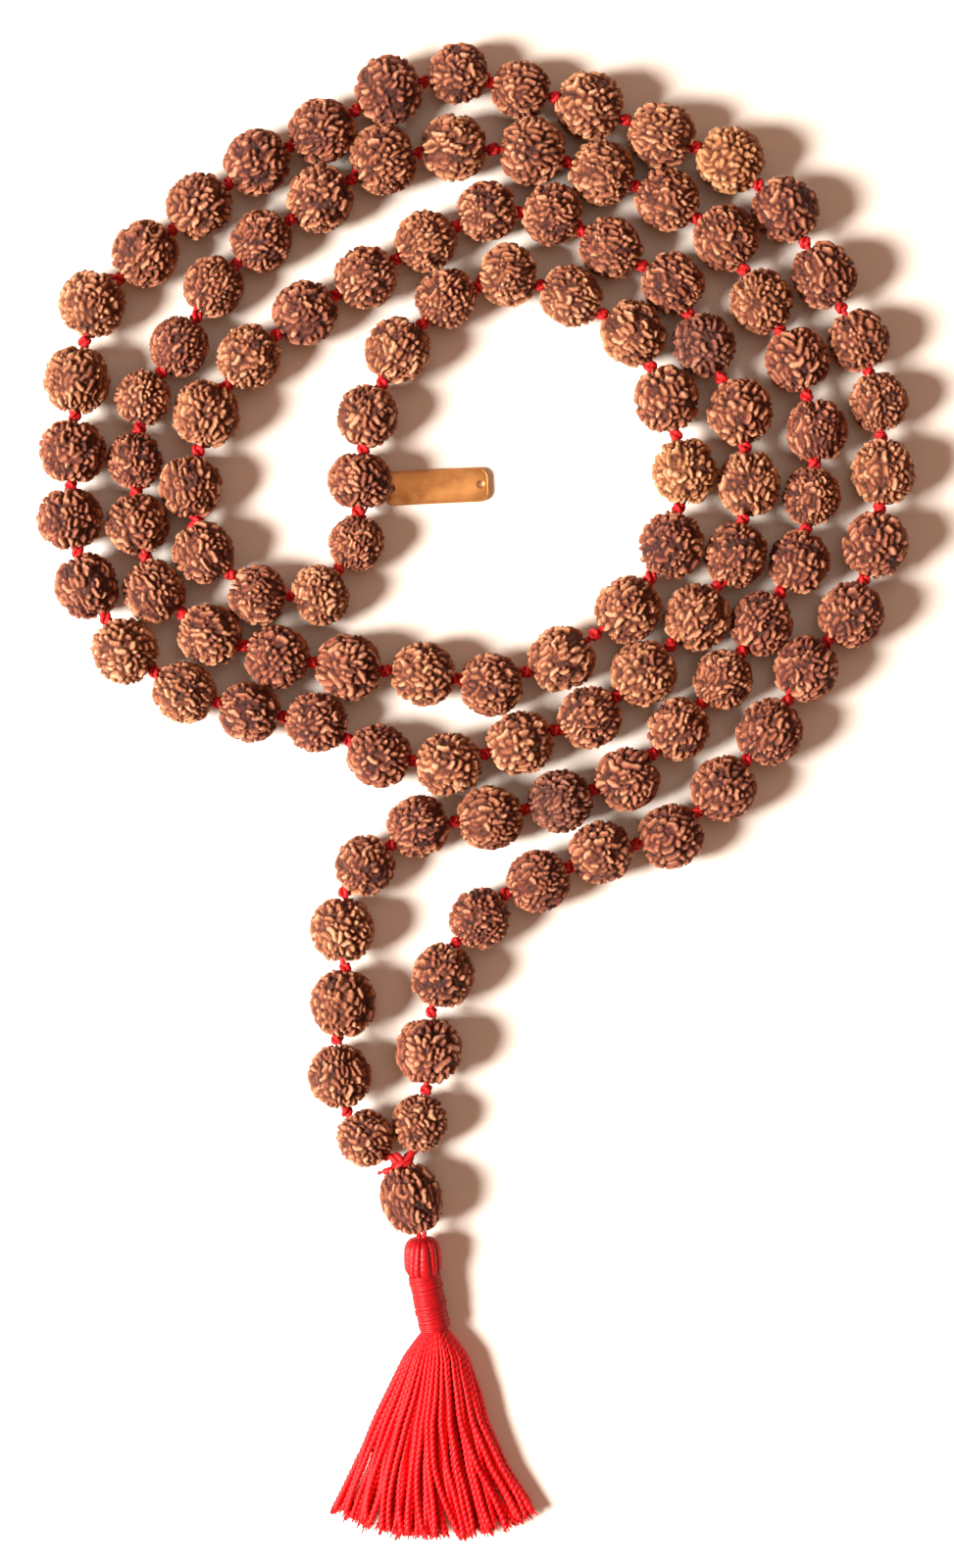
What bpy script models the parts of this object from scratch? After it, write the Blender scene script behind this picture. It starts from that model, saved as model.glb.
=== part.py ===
"""Mala prayer beads: 108 seed beads on a knotted cord, laid as a doubled spiral, with a
guru bead and a thread tassel.  Units are metres, +Z is up, and the beads rest on z = 0."""
import bpy
import bmesh
import math
from mathutils import Matrix, Vector

MM = 0.001

# ---- driving dimensions, millimetres ----
KNOT_GAP = 1.0        # bead to bead along the cord, which a knot fills
BEAD_MIN, BEAD_MAX = 3.50, 4.20   # half length of a bead
BEAD_WAIST = 0.985    # a bead's radius over its half length
WAIST_MIN = 3.50      # least radius of a bead
# beads that are plumper than their length, by how much (mm)
PLUMP = {18: 0.1, 20: 0.1, 21: 0.2, 23: 0.3, 30: 0.3, 34: 0.1, 44: 0.3, 48: 0.4, 50: 0.35, 51: 0.2, 52: 0.2,
         54: 0.25, 60: 0.3, 78: 0.3, 79: 0.4, 86: 0.2, 89: 0.15}
CLEAR = 0.20          # between beads of neighbouring turns
CORD_R = 0.42
KNOT_R = 0.80
BORE_R = 0.74
MOUTH_R = 1.25
GURU_R, GURU_HALF = 4.05, 4.45
HEAD_R, CORE_R = 2.32, 1.15
WRAP_IN, WRAP_OUT = 1.50, 2.06
TAG_W, TAG_T, TAG_HOLE_R = 4.4, 0.7, 0.45
SIDES = 8

# where the centre of each bead lies on the table, in the order they are strung
ROUTE = [
    (-14.1, -44.4), (-17.7, -36.5), (-16.8, -27.2), (-17.4, -17.8), (-14.2, -9.6), (-7.4, -4.6), (1.8, -3.5), (10.7, -1.4), (19.2, 1.4),
    (25.8, 7.8), (31.5, 14.1), (36.4, 21.2), (41.2, 29.1), (42.8, 37.5), (43.4, 45.8), (40.9, 54.9), (36.4, 62.3), (31.8, 70.4),
    (24.4, 75.4), (15.9, 78.6), (7.1, 81.7), (-2.9, 81.9), (-11.8, 80.5), (-19.9, 75.4), (-27.4, 70), (-33.5, 64.3), (-37.9, 56.6),
    (-42.5, 50.1), (-43.8, 42.1), (-43.2, 33.9), (-41, 25.4), (-33.9, 19.8), (-25.4, 16.9), (-16.4, 15.4), (-6.6, 14.8), (1.8, 13.4),
    (10.9, 16.6), (19.4, 22.8), (25.1, 31.2), (26.8, 40.6), (24.3, 49.9), (20.1, 58.3), (12.2, 63.1), (4.1, 65.7), (-3.9, 63.1),
    (-10, 56.1), (-13.9, 47.7), (-14.8, 39.4), (-15.3, 31.6), (-19.9, 24.9), (-27.9, 24.8), (-34.8, 30.2), (-36.4, 38.7), (-34.4, 47.9),
    (-29, 55.2), (-21.8, 60.9), (-14.1, 65.4), (-6.4, 69.8), (1.4, 73.9), (9.8, 73.6), (17.1, 69.1), (25.1, 64.5), (28.9, 56.8),
    (33.6, 48.3), (34.6, 39.1), (32.9, 30), (28.2, 22.1), (21.2, 15), (14.5, 9.4), (5.6, 6.2), (-3.5, 3.2), (-12.4, 4.4),
    (-20.2, 8.9), (-28.9, 10.1), (-37.2, 12.6), (-44.8, 17.8), (-49.6, 26), (-51.8, 34.6), (-51.2, 43.1), (-50.9, 52.3), (-48.9, 62),
    (-42.2, 68.4), (-35.3, 74.5), (-27.9, 80.1), (-19.6, 84.1), (-11.2, 89.1), (-2.1, 91.4), (5.6, 89.1), (14.4, 87.3), (23.6, 83.5),
    (32.4, 80.4), (39.4, 74), (44.3, 65.7), (48.8, 57.2), (51.3, 49.7), (51.9, 40.6), (50.9, 31.3), (47.8, 22.4), (42, 15.6),
    (37.4, 7.4), (31.5, 0.2), (24.8, -5.9), (15.9, -7.9), (7.9, -11.6), (0.4, -16.4), (-4.4, -23.5), (-6.1, -33.2), (-7.2, -42.5),
]
GATHER = (-9.6, -47.3)     # the knot that joins both ends of the strand
GURU = (-8.3, -52.1)
TASSEL_TOP = (-7.0, -56.5)
STEM_KNOTS = {             # knots of the two straight strands that run down to the guru bead
    4: (-17.4, -12.7), 3: (-16.4, -22.7), 2: (-18.0, -31.7), 1: (-16.9, -41.4),
    104: (3.4, -12.8), 105: (-3.0, -19.2), 106: (-6.0, -28.3), 107: (-6.2, -38.5),
}


def lay_out():
    """Bead centres, half lengths and radii (mm).  Beads of neighbouring turns are nudged
    apart until they clear, each bead fills the space that its two knots leave."""
    p = [Vector(q) for q in ROUTE]
    n = len(p)
    goal = []
    for i in range(n):
        near = [(p[i] - p[j]).length for j in (i - 1, i + 1) if 0 <= j < n]
        goal.append(min(BEAD_MAX, max(BEAD_MIN, (sum(near) / len(near) - KNOT_GAP) / 2)))
    goal[0] = goal[-1] = BEAD_MIN + 0.1
    half = goal[:]
    fat = [max(g * BEAD_WAIST, WAIST_MIN) + PLUMP.get(i + 1, 0.0) for i, g in enumerate(goal)]
    pairs = [(i, j) for i in range(n) for j in range(i + 2, n) if (p[i] - p[j]).length < 9.5]
    for _ in range(120):
        for i, j in pairs:
            d = p[j] - p[i]
            short = fat[i] + fat[j] + CLEAR - d.length
            if short > 0:
                step = d.normalized() * short * 0.25
                p[i] -= step
                p[j] += step
                for k in (i, j):
                    fat[k] = max(WAIST_MIN, fat[k] - short * 0.06)
        for i in range(n - 1):
            d = p[i + 1] - p[i]
            short = half[i] + half[i + 1] + 0.8 * KNOT_GAP - d.length
            if short > 0:
                step = d.normalized() * short * 0.25
                p[i] -= step
                p[i + 1] += step
                for k in (i, i + 1):
                    half[k] = max(BEAD_MIN, half[k] - short * 0.12)
    return p, half, fat


P2, HALF, FAT = lay_out()
N = len(P2)
CENTRE = [Vector((p.x, p.y, r + 0.03)) * MM for p, r in zip(P2, FAT)]
GATHER3 = Vector((GATHER[0], GATHER[1], 3.7)) * MM


def knot(i):
    """The knot between bead i and bead i + 1, both counted from 1."""
    a, b = CENTRE[i - 1], CENTRE[i]
    m = (a + b) / 2
    if i in STEM_KNOTS:
        x, y = STEM_KNOTS[i]
        m = m.lerp(Vector((x * MM, y * MM, m.z)), 0.6)
    return m


def axis_of(i):
    """The direction of the cord through bead i."""
    lo = knot(i - 1) if i > 1 else GATHER3
    hi = knot(i) if i < N else GATHER3
    return (hi - lo).normalized()


# ---- scene, collections and materials ----
for o in list(bpy.data.objects):
    bpy.data.objects.remove(o, do_unlink=True)
PART = bpy.data.collections.new("mala_prayer_beads")
CUT = bpy.data.collections.new("mala_cutters")
bpy.context.scene.collection.children.link(PART)
bpy.context.scene.collection.children.link(CUT)


def material(name, colour, rough, metal=0.0):
    m = bpy.data.materials.new(name)
    m.use_nodes = True
    b = m.node_tree.nodes["Principled BSDF"]
    b.inputs["Base Color"].default_value = (*colour, 1)
    b.inputs["Roughness"].default_value = rough
    b.inputs["Metallic"].default_value = metal
    m.diffuse_color = (*colour, 1)
    return m


def put(o, mat, parent=None):
    PART.objects.link(o)
    if mat is not None:
        o.data.materials.append(mat)
    if parent is not None:
        o.parent = parent
        o.matrix_parent_inverse = Matrix.Translation(-parent.location)
    return o


def pivot(name, at):
    e = bpy.data.objects.new(name, None)
    e.empty_display_size = 4 * MM
    e.location = at
    PART.objects.link(e)
    return e


SEED = [material(f"rudraksha_{k}", c, 0.62) for k, c in enumerate(
    [(0.30, 0.12, 0.055), (0.26, 0.10, 0.05), (0.34, 0.15, 0.065), (0.23, 0.085, 0.045)])]
RED = material("red_cord", (0.60, 0.02, 0.022), 0.7)
TASSEL = material("red_tassel_thread", (0.75, 0.022, 0.025), 0.55)
GOLD = material("gold_plate", (0.80, 0.52, 0.22), 0.35, 1.0)


def along(u, down=Vector((0, 0, -1))):
    """A rotation whose Z runs along u and whose X points as near down as it can."""
    z = u.normalized()
    x = (down - z * down.dot(z)).normalized()
    y = z.cross(x)
    return Matrix((x, y, z)).transposed().to_4x4()


def mesh_of(name, curve_object):
    """The evaluated mesh of a curve, with its caps welded on."""
    deps = bpy.context.evaluated_depsgraph_get()
    me = bpy.data.meshes.new_from_object(curve_object.evaluated_get(deps))
    me.name = name
    bm = bmesh.new()
    bm.from_mesh(me)
    bmesh.ops.remove_doubles(bm, verts=bm.verts, dist=0.00001)
    bmesh.ops.recalc_face_normals(bm, faces=bm.faces)
    bm.to_mesh(me)
    bm.free()
    return me


def swept(name, stations, mat, parent=None, sides=SIDES, seed=None, beads=()):
    """A closed round body along (point, radius) stations: a cord, its knots and its beads."""
    cu = bpy.data.curves.new(name + "_path", "CURVE")
    cu.dimensions = "3D"
    cu.twist_mode = "Z_UP"
    cu.use_fill_caps = True
    cu.bevel_depth = 1.0
    cu.bevel_resolution = sides // 2 - 2
    sp = cu.splines.new("POLY")
    sp.points.add(len(stations) - 1)
    for q, (at, r) in zip(sp.points, stations):
        q.co = (*at, 1)
        q.radius = r
    path = bpy.data.objects.new(name + "_path", cu)
    bpy.context.scene.collection.objects.link(path)
    bpy.context.view_layer.update()
    me = mesh_of(name, path)
    bpy.data.objects.remove(path)
    bpy.data.curves.remove(cu)
    me.materials.clear()
    o = bpy.data.objects.new(name, me)
    put(o, mat, parent)
    if seed is not None:
        me.materials.append(seed)
        for f in me.polygons:
            if min((f.center - CENTRE[b - 1]).length - max(HALF[b - 1], FAT[b - 1]) * MM for b in beads) < -0.02 * MM:
                f.material_index = 1
    me.shade_smooth()
    me.set_sharp_from_angle(angle=math.radians(50))
    return o


def bead_stations(i):
    c, u, a = CENTRE[i - 1], axis_of(i), HALF[i - 1] * MM
    r = FAT[i - 1] * MM
    return [(c + u * (s * a), q * r) for s, q in
            ((-0.985, 0.16), (-0.80, 0.60), (-0.29, 1.0), (0.29, 1.0), (0.80, 0.60), (0.985, 0.16))]


def run_of_beads(first, last, parent=None):
    """Beads first..last with their own stretch of cord, and the knot after each of them."""
    st = []
    for i in range(first, last + 1):
        st += bead_stations(i)
        k, u = knot(i), (axis_of(i) + axis_of(i + 1)).normalized()
        if i < last:
            st.append((k, KNOT_R * MM))
        elif i not in (4, 104):
            st += [(k - u * 0.12 * MM, 0.72 * MM), (k + u * 0.10 * MM, 0.60 * MM)]
    return swept(f"beads_{first:03d}_{last:03d}", st, RED, parent, seed=SEED[first % 4],
                 beads=range(first, last + 1))


def turned(name, profile, at, direction, mat, parent=None, steps=SIDES):
    """A closed profile of (radius, height) points in millimetres, turned about its own Z."""
    me = bpy.data.meshes.new(name)
    bm = bmesh.new()
    vs = [bm.verts.new((r * MM, 0, z * MM)) for r, z in profile]
    for a, b in zip(vs, vs[1:] + vs[:1]):
        bm.edges.new((a, b))
    bm.to_mesh(me)
    bm.free()
    o = bpy.data.objects.new(name, me)
    put(o, mat, parent)
    s = o.modifiers.new("turn", "SCREW")
    s.steps = s.render_steps = steps
    s.use_merge_vertices = True
    s.merge_threshold = 0.00001
    s.use_smooth_shade = True
    o.matrix_world = Matrix.Translation(at) @ along(direction)
    if parent is not None:
        o.matrix_parent_inverse = Matrix.Identity(4)
        o.matrix_basis = Matrix.Translation(Vector(at) - parent.location) @ along(direction)
    return o


def bored_bead(name, at, direction, r, a, mat, parent):
    """One bead that turns on the cord: a seed with dished ends and a bore."""
    h = 0.93 * a
    return turned(name, [(MOUTH_R, h), (0.64 * r, 0.78 * a), (r, 0.29 * a), (r, -0.29 * a),
                         (0.64 * r, -0.78 * a), (MOUTH_R, -h), (BORE_R, -h + 0.6), (BORE_R, h - 0.6)],
                  at, direction, mat, parent)


# ---- the coil: runs of three beads, each fused with its own stretch of knotted cord ----
def runs(first, last, lengths=(3,)):
    out, i, k = [], first, 0
    while i <= last:
        n = lengths[k % len(lengths)]
        j = min(last, i + n - 1)
        if last - j == 1:
            j = last
        out.append((i, j))
        i, k = j + 1, k + 1
    return out


for a, b in runs(6, 46) + runs(55, 103):
    run_of_beads(a, b)

# the inner end of the doubled strand folds up on the knots at its two sides
fold_a = pivot("inner_fold_pivot", (knot(46) + knot(54)) / 2)
fold_b = pivot("inner_end_fold_pivot", (knot(48) + knot(52)) / 2)
run_of_beads(47, 48, fold_a)
run_of_beads(53, 54, fold_a)
run_of_beads(49, 52, fold_b)


# ---- the stem: four rungs, each with two beads that turn on their cords ----
START = 1.12 * MM      # from a fold knot's centre to where the next stretch of cord begins
STEM = [(4, 105), (3, 106), (2, 107), (1, 108)]
# the two beads that the stem hangs from end in the first fold's knots
for b, k in ((5, 4), (104, 104)):
    st, kk = bead_stations(b), knot(k)
    if b == 5:
        st = list(reversed(st))
        other = knot(5)
    else:
        other = knot(103)
    u = (kk - st[-1][0]).normalized()
    st += [(kk - u * 0.45 * MM, 0.62 * MM), (kk, KNOT_R * MM), (kk + u * 0.5 * MM, 0.5 * MM)]
    swept(f"bead_{b:03d}_with_cord", st, RED, seed=SEED[b % 4], beads=(b,))

for row, (left, right) in enumerate(STEM):
    pre_l, pre_r = knot(left), knot(right - 1)
    at = (pre_l + pre_r) / 2
    e = pivot(f"stem_fold_{row + 1}_pivot", at)
    for side, b, near in (("left", left, pre_l), ("right", right, pre_r)):
        if b == 1:
            far = GATHER3 + Vector((-1.35, 0.55, 0.0)) * MM
        elif b == 108:
            far = GATHER3 + Vector((1.35, 1.10, 0.0)) * MM
        else:
            far = knot(b - 1) if side == "left" else knot(b)
        u = (far - near).normalized()
        c = CENTRE[b - 1]
        mid = near.lerp(far, (c - near).dot(u) / (far - near).length)
        if b not in (1, 108):
            c = Vector((*c.lerp(mid, 0.5).xy, c.z))
        # the bead sits on the line of its cord, at its own height
        shift = c - mid
        turned_at = c
        bored_bead(f"bead_{b:03d}", turned_at, u, FAT[b - 1], HALF[b - 1], SEED[b % 4], e)
        s = near + u * START + shift
        out = c + u * (HALF[b - 1] - 0.15) * MM
        if b in (1, 108):
            st = [(s, CORD_R * MM), (c, CORD_R * MM), (out, CORD_R * MM),
                  (out.lerp(far, 0.6), 0.60 * MM), (far, 0.5 * MM)]
        else:
            st = [(s, CORD_R * MM), (c, CORD_R * MM), (out, CORD_R * MM),
                  (far - u * 0.30 * MM, KNOT_R * MM), (far + u * 0.25 * MM, KNOT_R * MM),
                  (far + u * 0.6 * MM, 0.45 * MM)]
        swept(f"stem_cord_{row + 1}_{side}", st, RED, e)

last_fold = bpy.data.objects["stem_fold_4_pivot"]
GURU3 = Vector((*GURU, GURU_R)) * MM
TOP3 = Vector((*TASSEL_TOP, 3.95)) * MM
gu = (TOP3 - GATHER3).normalized()
g_mid = GATHER3.lerp(TOP3, (GURU3 - GATHER3).dot(gu) / (TOP3 - GATHER3).length)
swept("gathering_knot", [(GATHER3 + Vector((-1.0, 0.12, 0.0)) * MM, 0.45 * MM),
                         (GATHER3 + Vector((-0.6, 0.05, 0.0)) * MM, 0.80 * MM),
                         (GATHER3, 0.95 * MM),
                         (GATHER3 + Vector((0.6, 0.05, 0.0)) * MM, 0.80 * MM),
                         (GATHER3 + Vector((1.0, 0.12, 0.0)) * MM, 0.45 * MM)], RED, last_fold)

# ---- guru bead, on a short cord that folds at the gathering knot ----
guru_fold = pivot("guru_fold_pivot", GATHER3)
bead_mid = Vector((g_mid.x, g_mid.y, (GURU_R + 0.03) * MM))
bored_bead("guru_bead", bead_mid, gu, GURU_R, GURU_HALF, SEED[1], guru_fold)
lift = Vector((0, 0, bead_mid.z - g_mid.z))
swept("guru_cord", [(GATHER3 + gu * 1.45 * MM + lift * 0.5, 0.62 * MM), (bead_mid, 0.55 * MM),
                    (TOP3 - gu * 1.25 * MM + lift * 0.5, 0.55 * MM)], RED, guru_fold)

# ---- tassel: a loop, a head of folded thread with its core, the neck wrap and the skirt ----
swing = pivot("tassel_swing_pivot", TOP3)
swept("tassel_loop", [(TOP3 + Vector((0, 0.75, 0.05)) * MM, 0.30 * MM), (TOP3 + Vector((0, 0.4, 0.03)) * MM, 0.58 * MM),
                      (TOP3 + Vector((0, -0.15, 0)) * MM, 0.62 * MM), (TOP3 + Vector((0, -0.6, -0.05)) * MM, 0.30 * MM)],
      RED, swing)
LIFT3 = TOP3 + Vector((0.0, -0.3, -0.05)) * MM
lift_pivot = pivot("tassel_lift_pivot", LIFT3)
NECK0 = Vector((-6.75, -61.7, 2.95)) * MM
NECK1 = Vector((-5.2, -69.3, 2.12)) * MM
hd = (NECK0 - LIFT3).normalized()
nd = (NECK1 - NECK0).normalized()
h0 = LIFT3 + hd * 0.75 * MM
head_len = (NECK0 - h0).length / MM
swept("tassel_head", [(h0, 0.85 * MM), (h0 + hd * 0.45 * MM, 1.75 * MM), (h0 + hd * 1.3 * MM, 2.22 * MM),
                      (h0 + hd * (head_len * 0.62) * MM, HEAD_R * MM), (NECK0 - hd * 0.55 * MM, 2.15 * MM),
                      (NECK0 - hd * 0.15 * MM, CORE_R * MM), (NECK0 + nd * 0.6 * MM, CORE_R * MM),
                      (NECK1 - nd * 0.30 * MM, CORE_R * MM)], TASSEL, lift_pivot, sides=12)
wrap_len = (NECK1 - NECK0).length / MM
turned("tassel_neck_wrap", [(WRAP_OUT - 0.2, wrap_len - 0.25), (WRAP_OUT, wrap_len - 0.6), (WRAP_OUT, 0.75),
                            (WRAP_OUT - 0.2, 0.42), (WRAP_IN, 0.42), (WRAP_IN, wrap_len - 0.25)],
       NECK0, nd, TASSEL, lift_pivot, steps=12)

skirt_pivot = pivot("skirt_fold_pivot", NECK1)


def lofted(name, sections, mat, parent, sides=14):
    """A body through elliptical sections (centre, half width, half height), square to -Y."""
    bm = bmesh.new()
    rings = []
    for (x, y, z), w, h in sections:
        made = bmesh.ops.create_circle(bm, cap_ends=False, segments=sides, radius=1.0)
        ring = made["verts"]
        for v in ring:
            v.co = Vector((x + v.co.x * w, y, z + v.co.y * h)) * MM
        rings.append(ring)
    for a, b in zip(rings, rings[1:]):
        for k in range(sides):
            bm.faces.new((a[k], a[(k + 1) % sides], b[(k + 1) % sides], b[k]))
    bm.faces.new(rings[0])
    bm.faces.new(rings[-1])
    bmesh.ops.recalc_face_normals(bm, faces=bm.faces)
    me = bpy.data.meshes.new(name)
    bm.to_mesh(me)
    bm.free()
    me.shade_smooth()
    return put(bpy.data.objects.new(name, me), mat, parent)


nx, ny, nz = NECK1 / MM
lofted("tassel_skirt", [
    ((nx + 0.05, ny - 0.35, 2.10), 0.95, 0.95),
    ((nx + 0.05, ny - 1.20, 2.20), 2.1, 2.0),
    ((nx + 0.05, ny - 3.2, 2.35), 4.0, 2.35),
    ((-5.4, -77.0, 2.35), 5.6, 2.35),
    ((-5.8, -80.8, 2.2), 7.0, 2.2),
    ((-5.9, -86.6, 1.95), 9.5, 1.95),
    ((-5.5, -91.6, 1.75), 12.5, 1.75),
    ((-5.3, -93.6, 1.6), 10.0, 1.6),
    ((-4.9, -94.9, 1.4), 5.0, 1.4),
], TASSEL, skirt_pivot)

# ---- gold tag, tied to the strand with a thread between beads 48 and 49 ----
TAG_LEFT, TAG_RIGHT = Vector((-12.0, 38.75)), Vector((1.70, 39.35))
TAG_ANGLE = math.atan2(TAG_RIGHT.y - TAG_LEFT.y, TAG_RIGHT.x - TAG_LEFT.x)
tie = knot(48)
tag_swing = pivot("tag_swing_pivot", tie)
eye = Vector((TAG_LEFT.x + 1.0, TAG_LEFT.y + 0.08, TAG_T * 0.9)) * MM
swept("tag_thread", [(tie + Vector((1.2, 0.05, -0.7)) * MM, 0.18 * MM), (tie + Vector((1.6, 0.1, -1.6)) * MM, 0.20 * MM),
                     (tie + Vector((2.1, 0.5, -2.4)) * MM, 0.20 * MM), (tie + Vector((2.6, 1.2, -2.6)) * MM, 0.20 * MM),
                     (tie + Vector((3.3, 2.1, -2.5)) * MM, 0.20 * MM),
                     (Vector((eye.x, eye.y, 1.40 * MM)), 0.26 * MM)], RED, tag_swing, sides=6)

bm = bmesh.new()
half_l, half_w, corner = (TAG_RIGHT - TAG_LEFT).length / 2, TAG_W / 2, 1.3
bmesh.ops.create_cube(bm, size=1.0, matrix=Matrix.Diagonal((2 * half_l * MM, TAG_W * MM, TAG_T * MM, 1)))
upright = [e for e in bm.edges if abs((e.verts[0].co - e.verts[1].co).z) > TAG_T * MM * 0.9]
bmesh.ops.bevel(bm, geom=upright, offset=corner * MM, segments=4, affect="EDGES", profile=0.5)
me = bpy.data.meshes.new("tag")
bm.to_mesh(me)
bm.free()
tag_lift = pivot("tag_lift_pivot", eye)
tag = put(bpy.data.objects.new("tag", me), GOLD, tag_lift)
mid = (TAG_LEFT + TAG_RIGHT) / 2
tag_at = Matrix.Translation(Vector((mid.x, mid.y, TAG_T / 2)) * MM) @ Matrix.Rotation(TAG_ANGLE, 4, "Z")
tag.matrix_parent_inverse = Matrix.Identity(4)
tag.matrix_basis = Matrix.Translation(-tag_lift.location) @ tag_at
for k, x in enumerate((-half_l + 1.0, half_l - 1.15)):
    me = bpy.data.meshes.new(f"tag_hole_{k}")
    bm = bmesh.new()
    bmesh.ops.create_cone(bm, cap_ends=True, segments=12, radius1=TAG_HOLE_R * MM, radius2=TAG_HOLE_R * MM,
                          depth=3 * TAG_T * MM)
    bm.to_mesh(me)
    bm.free()
    cutter = bpy.data.objects.new(f"tag_hole_{k}", me)
    CUT.objects.link(cutter)
    cutter.matrix_world = tag_at @ Matrix.Translation((x * MM, 0, 0))
    cutter.display_type = "WIRE"
    cutter.hide_render = True
    cut = tag.modifiers.new(f"hole_{k}", "BOOLEAN")
    cut.operation = "DIFFERENCE"
    cut.object = cutter
    cut.solver = "EXACT"

# the origin is the middle of the object's footprint
MIDDLE = Vector((0.0, -0.177, 0.0)) * MM
for o in list(PART.objects) + list(CUT.objects):
    if o.parent is None:
        o.location = o.location + MIDDLE
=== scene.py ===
import bpy
import math
import numpy as np
from mathutils import Matrix, Vector
from mathutils import noise as mnoise


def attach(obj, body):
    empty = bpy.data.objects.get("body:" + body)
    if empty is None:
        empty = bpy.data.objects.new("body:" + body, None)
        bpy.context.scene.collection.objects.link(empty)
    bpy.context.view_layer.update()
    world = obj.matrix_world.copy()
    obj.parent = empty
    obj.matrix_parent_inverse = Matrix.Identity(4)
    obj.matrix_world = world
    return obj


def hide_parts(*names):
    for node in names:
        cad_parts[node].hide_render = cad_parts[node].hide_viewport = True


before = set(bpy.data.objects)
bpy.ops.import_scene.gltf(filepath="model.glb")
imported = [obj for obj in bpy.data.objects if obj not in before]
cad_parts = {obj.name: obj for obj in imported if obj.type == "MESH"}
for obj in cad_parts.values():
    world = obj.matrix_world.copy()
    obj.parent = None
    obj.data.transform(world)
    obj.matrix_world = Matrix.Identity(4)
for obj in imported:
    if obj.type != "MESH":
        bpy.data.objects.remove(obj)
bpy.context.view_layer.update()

MM = 0.001

# ------------------------------------------------------------------ the strand's layout
KNOT_GAP = 1.0
BEAD_MIN, BEAD_MAX = 3.50, 4.20
BEAD_WAIST = 0.985
WAIST_MIN = 3.50
PLUMP = {18: 0.1, 20: 0.1, 21: 0.2, 23: 0.3, 30: 0.3, 34: 0.1, 44: 0.3, 48: 0.4, 50: 0.35, 51: 0.2, 52: 0.2,
         54: 0.25, 60: 0.3, 78: 0.3, 79: 0.4, 86: 0.2, 89: 0.15}
CLEAR = 0.20
CORD_R = 0.40
GURU_R, GURU_HALF = 4.05, 4.45
MIDDLE = Vector((0.0, -0.177, 0.0))

ROUTE = [
    (-14.1, -44.4), (-17.7, -36.5), (-16.8, -27.2), (-17.4, -17.8), (-14.2, -9.6), (-7.4, -4.6), (1.8, -3.5), (10.7, -1.4), (19.2, 1.4),
    (25.8, 7.8), (31.5, 14.1), (36.4, 21.2), (41.2, 29.1), (42.8, 37.5), (43.4, 45.8), (40.9, 54.9), (36.4, 62.3), (31.8, 70.4),
    (24.4, 75.4), (15.9, 78.6), (7.1, 81.7), (-2.9, 81.9), (-11.8, 80.5), (-19.9, 75.4), (-27.4, 70), (-33.5, 64.3), (-37.9, 56.6),
    (-42.5, 50.1), (-43.8, 42.1), (-43.2, 33.9), (-41, 25.4), (-33.9, 19.8), (-25.4, 16.9), (-16.4, 15.4), (-6.6, 14.8), (1.8, 13.4),
    (10.9, 16.6), (19.4, 22.8), (25.1, 31.2), (26.8, 40.6), (24.3, 49.9), (20.1, 58.3), (12.2, 63.1), (4.1, 65.7), (-3.9, 63.1),
    (-10, 56.1), (-13.9, 47.7), (-14.8, 39.4), (-15.3, 31.6), (-19.9, 24.9), (-27.9, 24.8), (-34.8, 30.2), (-36.4, 38.7), (-34.4, 47.9),
    (-29, 55.2), (-21.8, 60.9), (-14.1, 65.4), (-6.4, 69.8), (1.4, 73.9), (9.8, 73.6), (17.1, 69.1), (25.1, 64.5), (28.9, 56.8),
    (33.6, 48.3), (34.6, 39.1), (32.9, 30), (28.2, 22.1), (21.2, 15), (14.5, 9.4), (5.6, 6.2), (-3.5, 3.2), (-12.4, 4.4),
    (-20.2, 8.9), (-28.9, 10.1), (-37.2, 12.6), (-44.8, 17.8), (-49.6, 26), (-51.8, 34.6), (-51.2, 43.1), (-50.9, 52.3), (-48.9, 62),
    (-42.2, 68.4), (-35.3, 74.5), (-27.9, 80.1), (-19.6, 84.1), (-11.2, 89.1), (-2.1, 91.4), (5.6, 89.1), (14.4, 87.3), (23.6, 83.5),
    (32.4, 80.4), (39.4, 74), (44.3, 65.7), (48.8, 57.2), (51.3, 49.7), (51.9, 40.6), (50.9, 31.3), (47.8, 22.4), (42, 15.6),
    (37.4, 7.4), (31.5, 0.2), (24.8, -5.9), (15.9, -7.9), (7.9, -11.6), (0.4, -16.4), (-4.4, -23.5), (-6.1, -33.2), (-7.2, -42.5),
]
GATHER = (-9.6, -47.3)
GURU = (-8.3, -52.1)
TASSEL_TOP = (-7.0, -56.5)
STEM_KNOTS = {
    4: (-17.4, -12.7), 3: (-16.4, -22.7), 2: (-18.0, -31.7), 1: (-16.9, -41.4),
    104: (3.4, -12.8), 105: (-3.0, -19.2), 106: (-6.0, -28.3), 107: (-6.2, -38.5),
}


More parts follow.
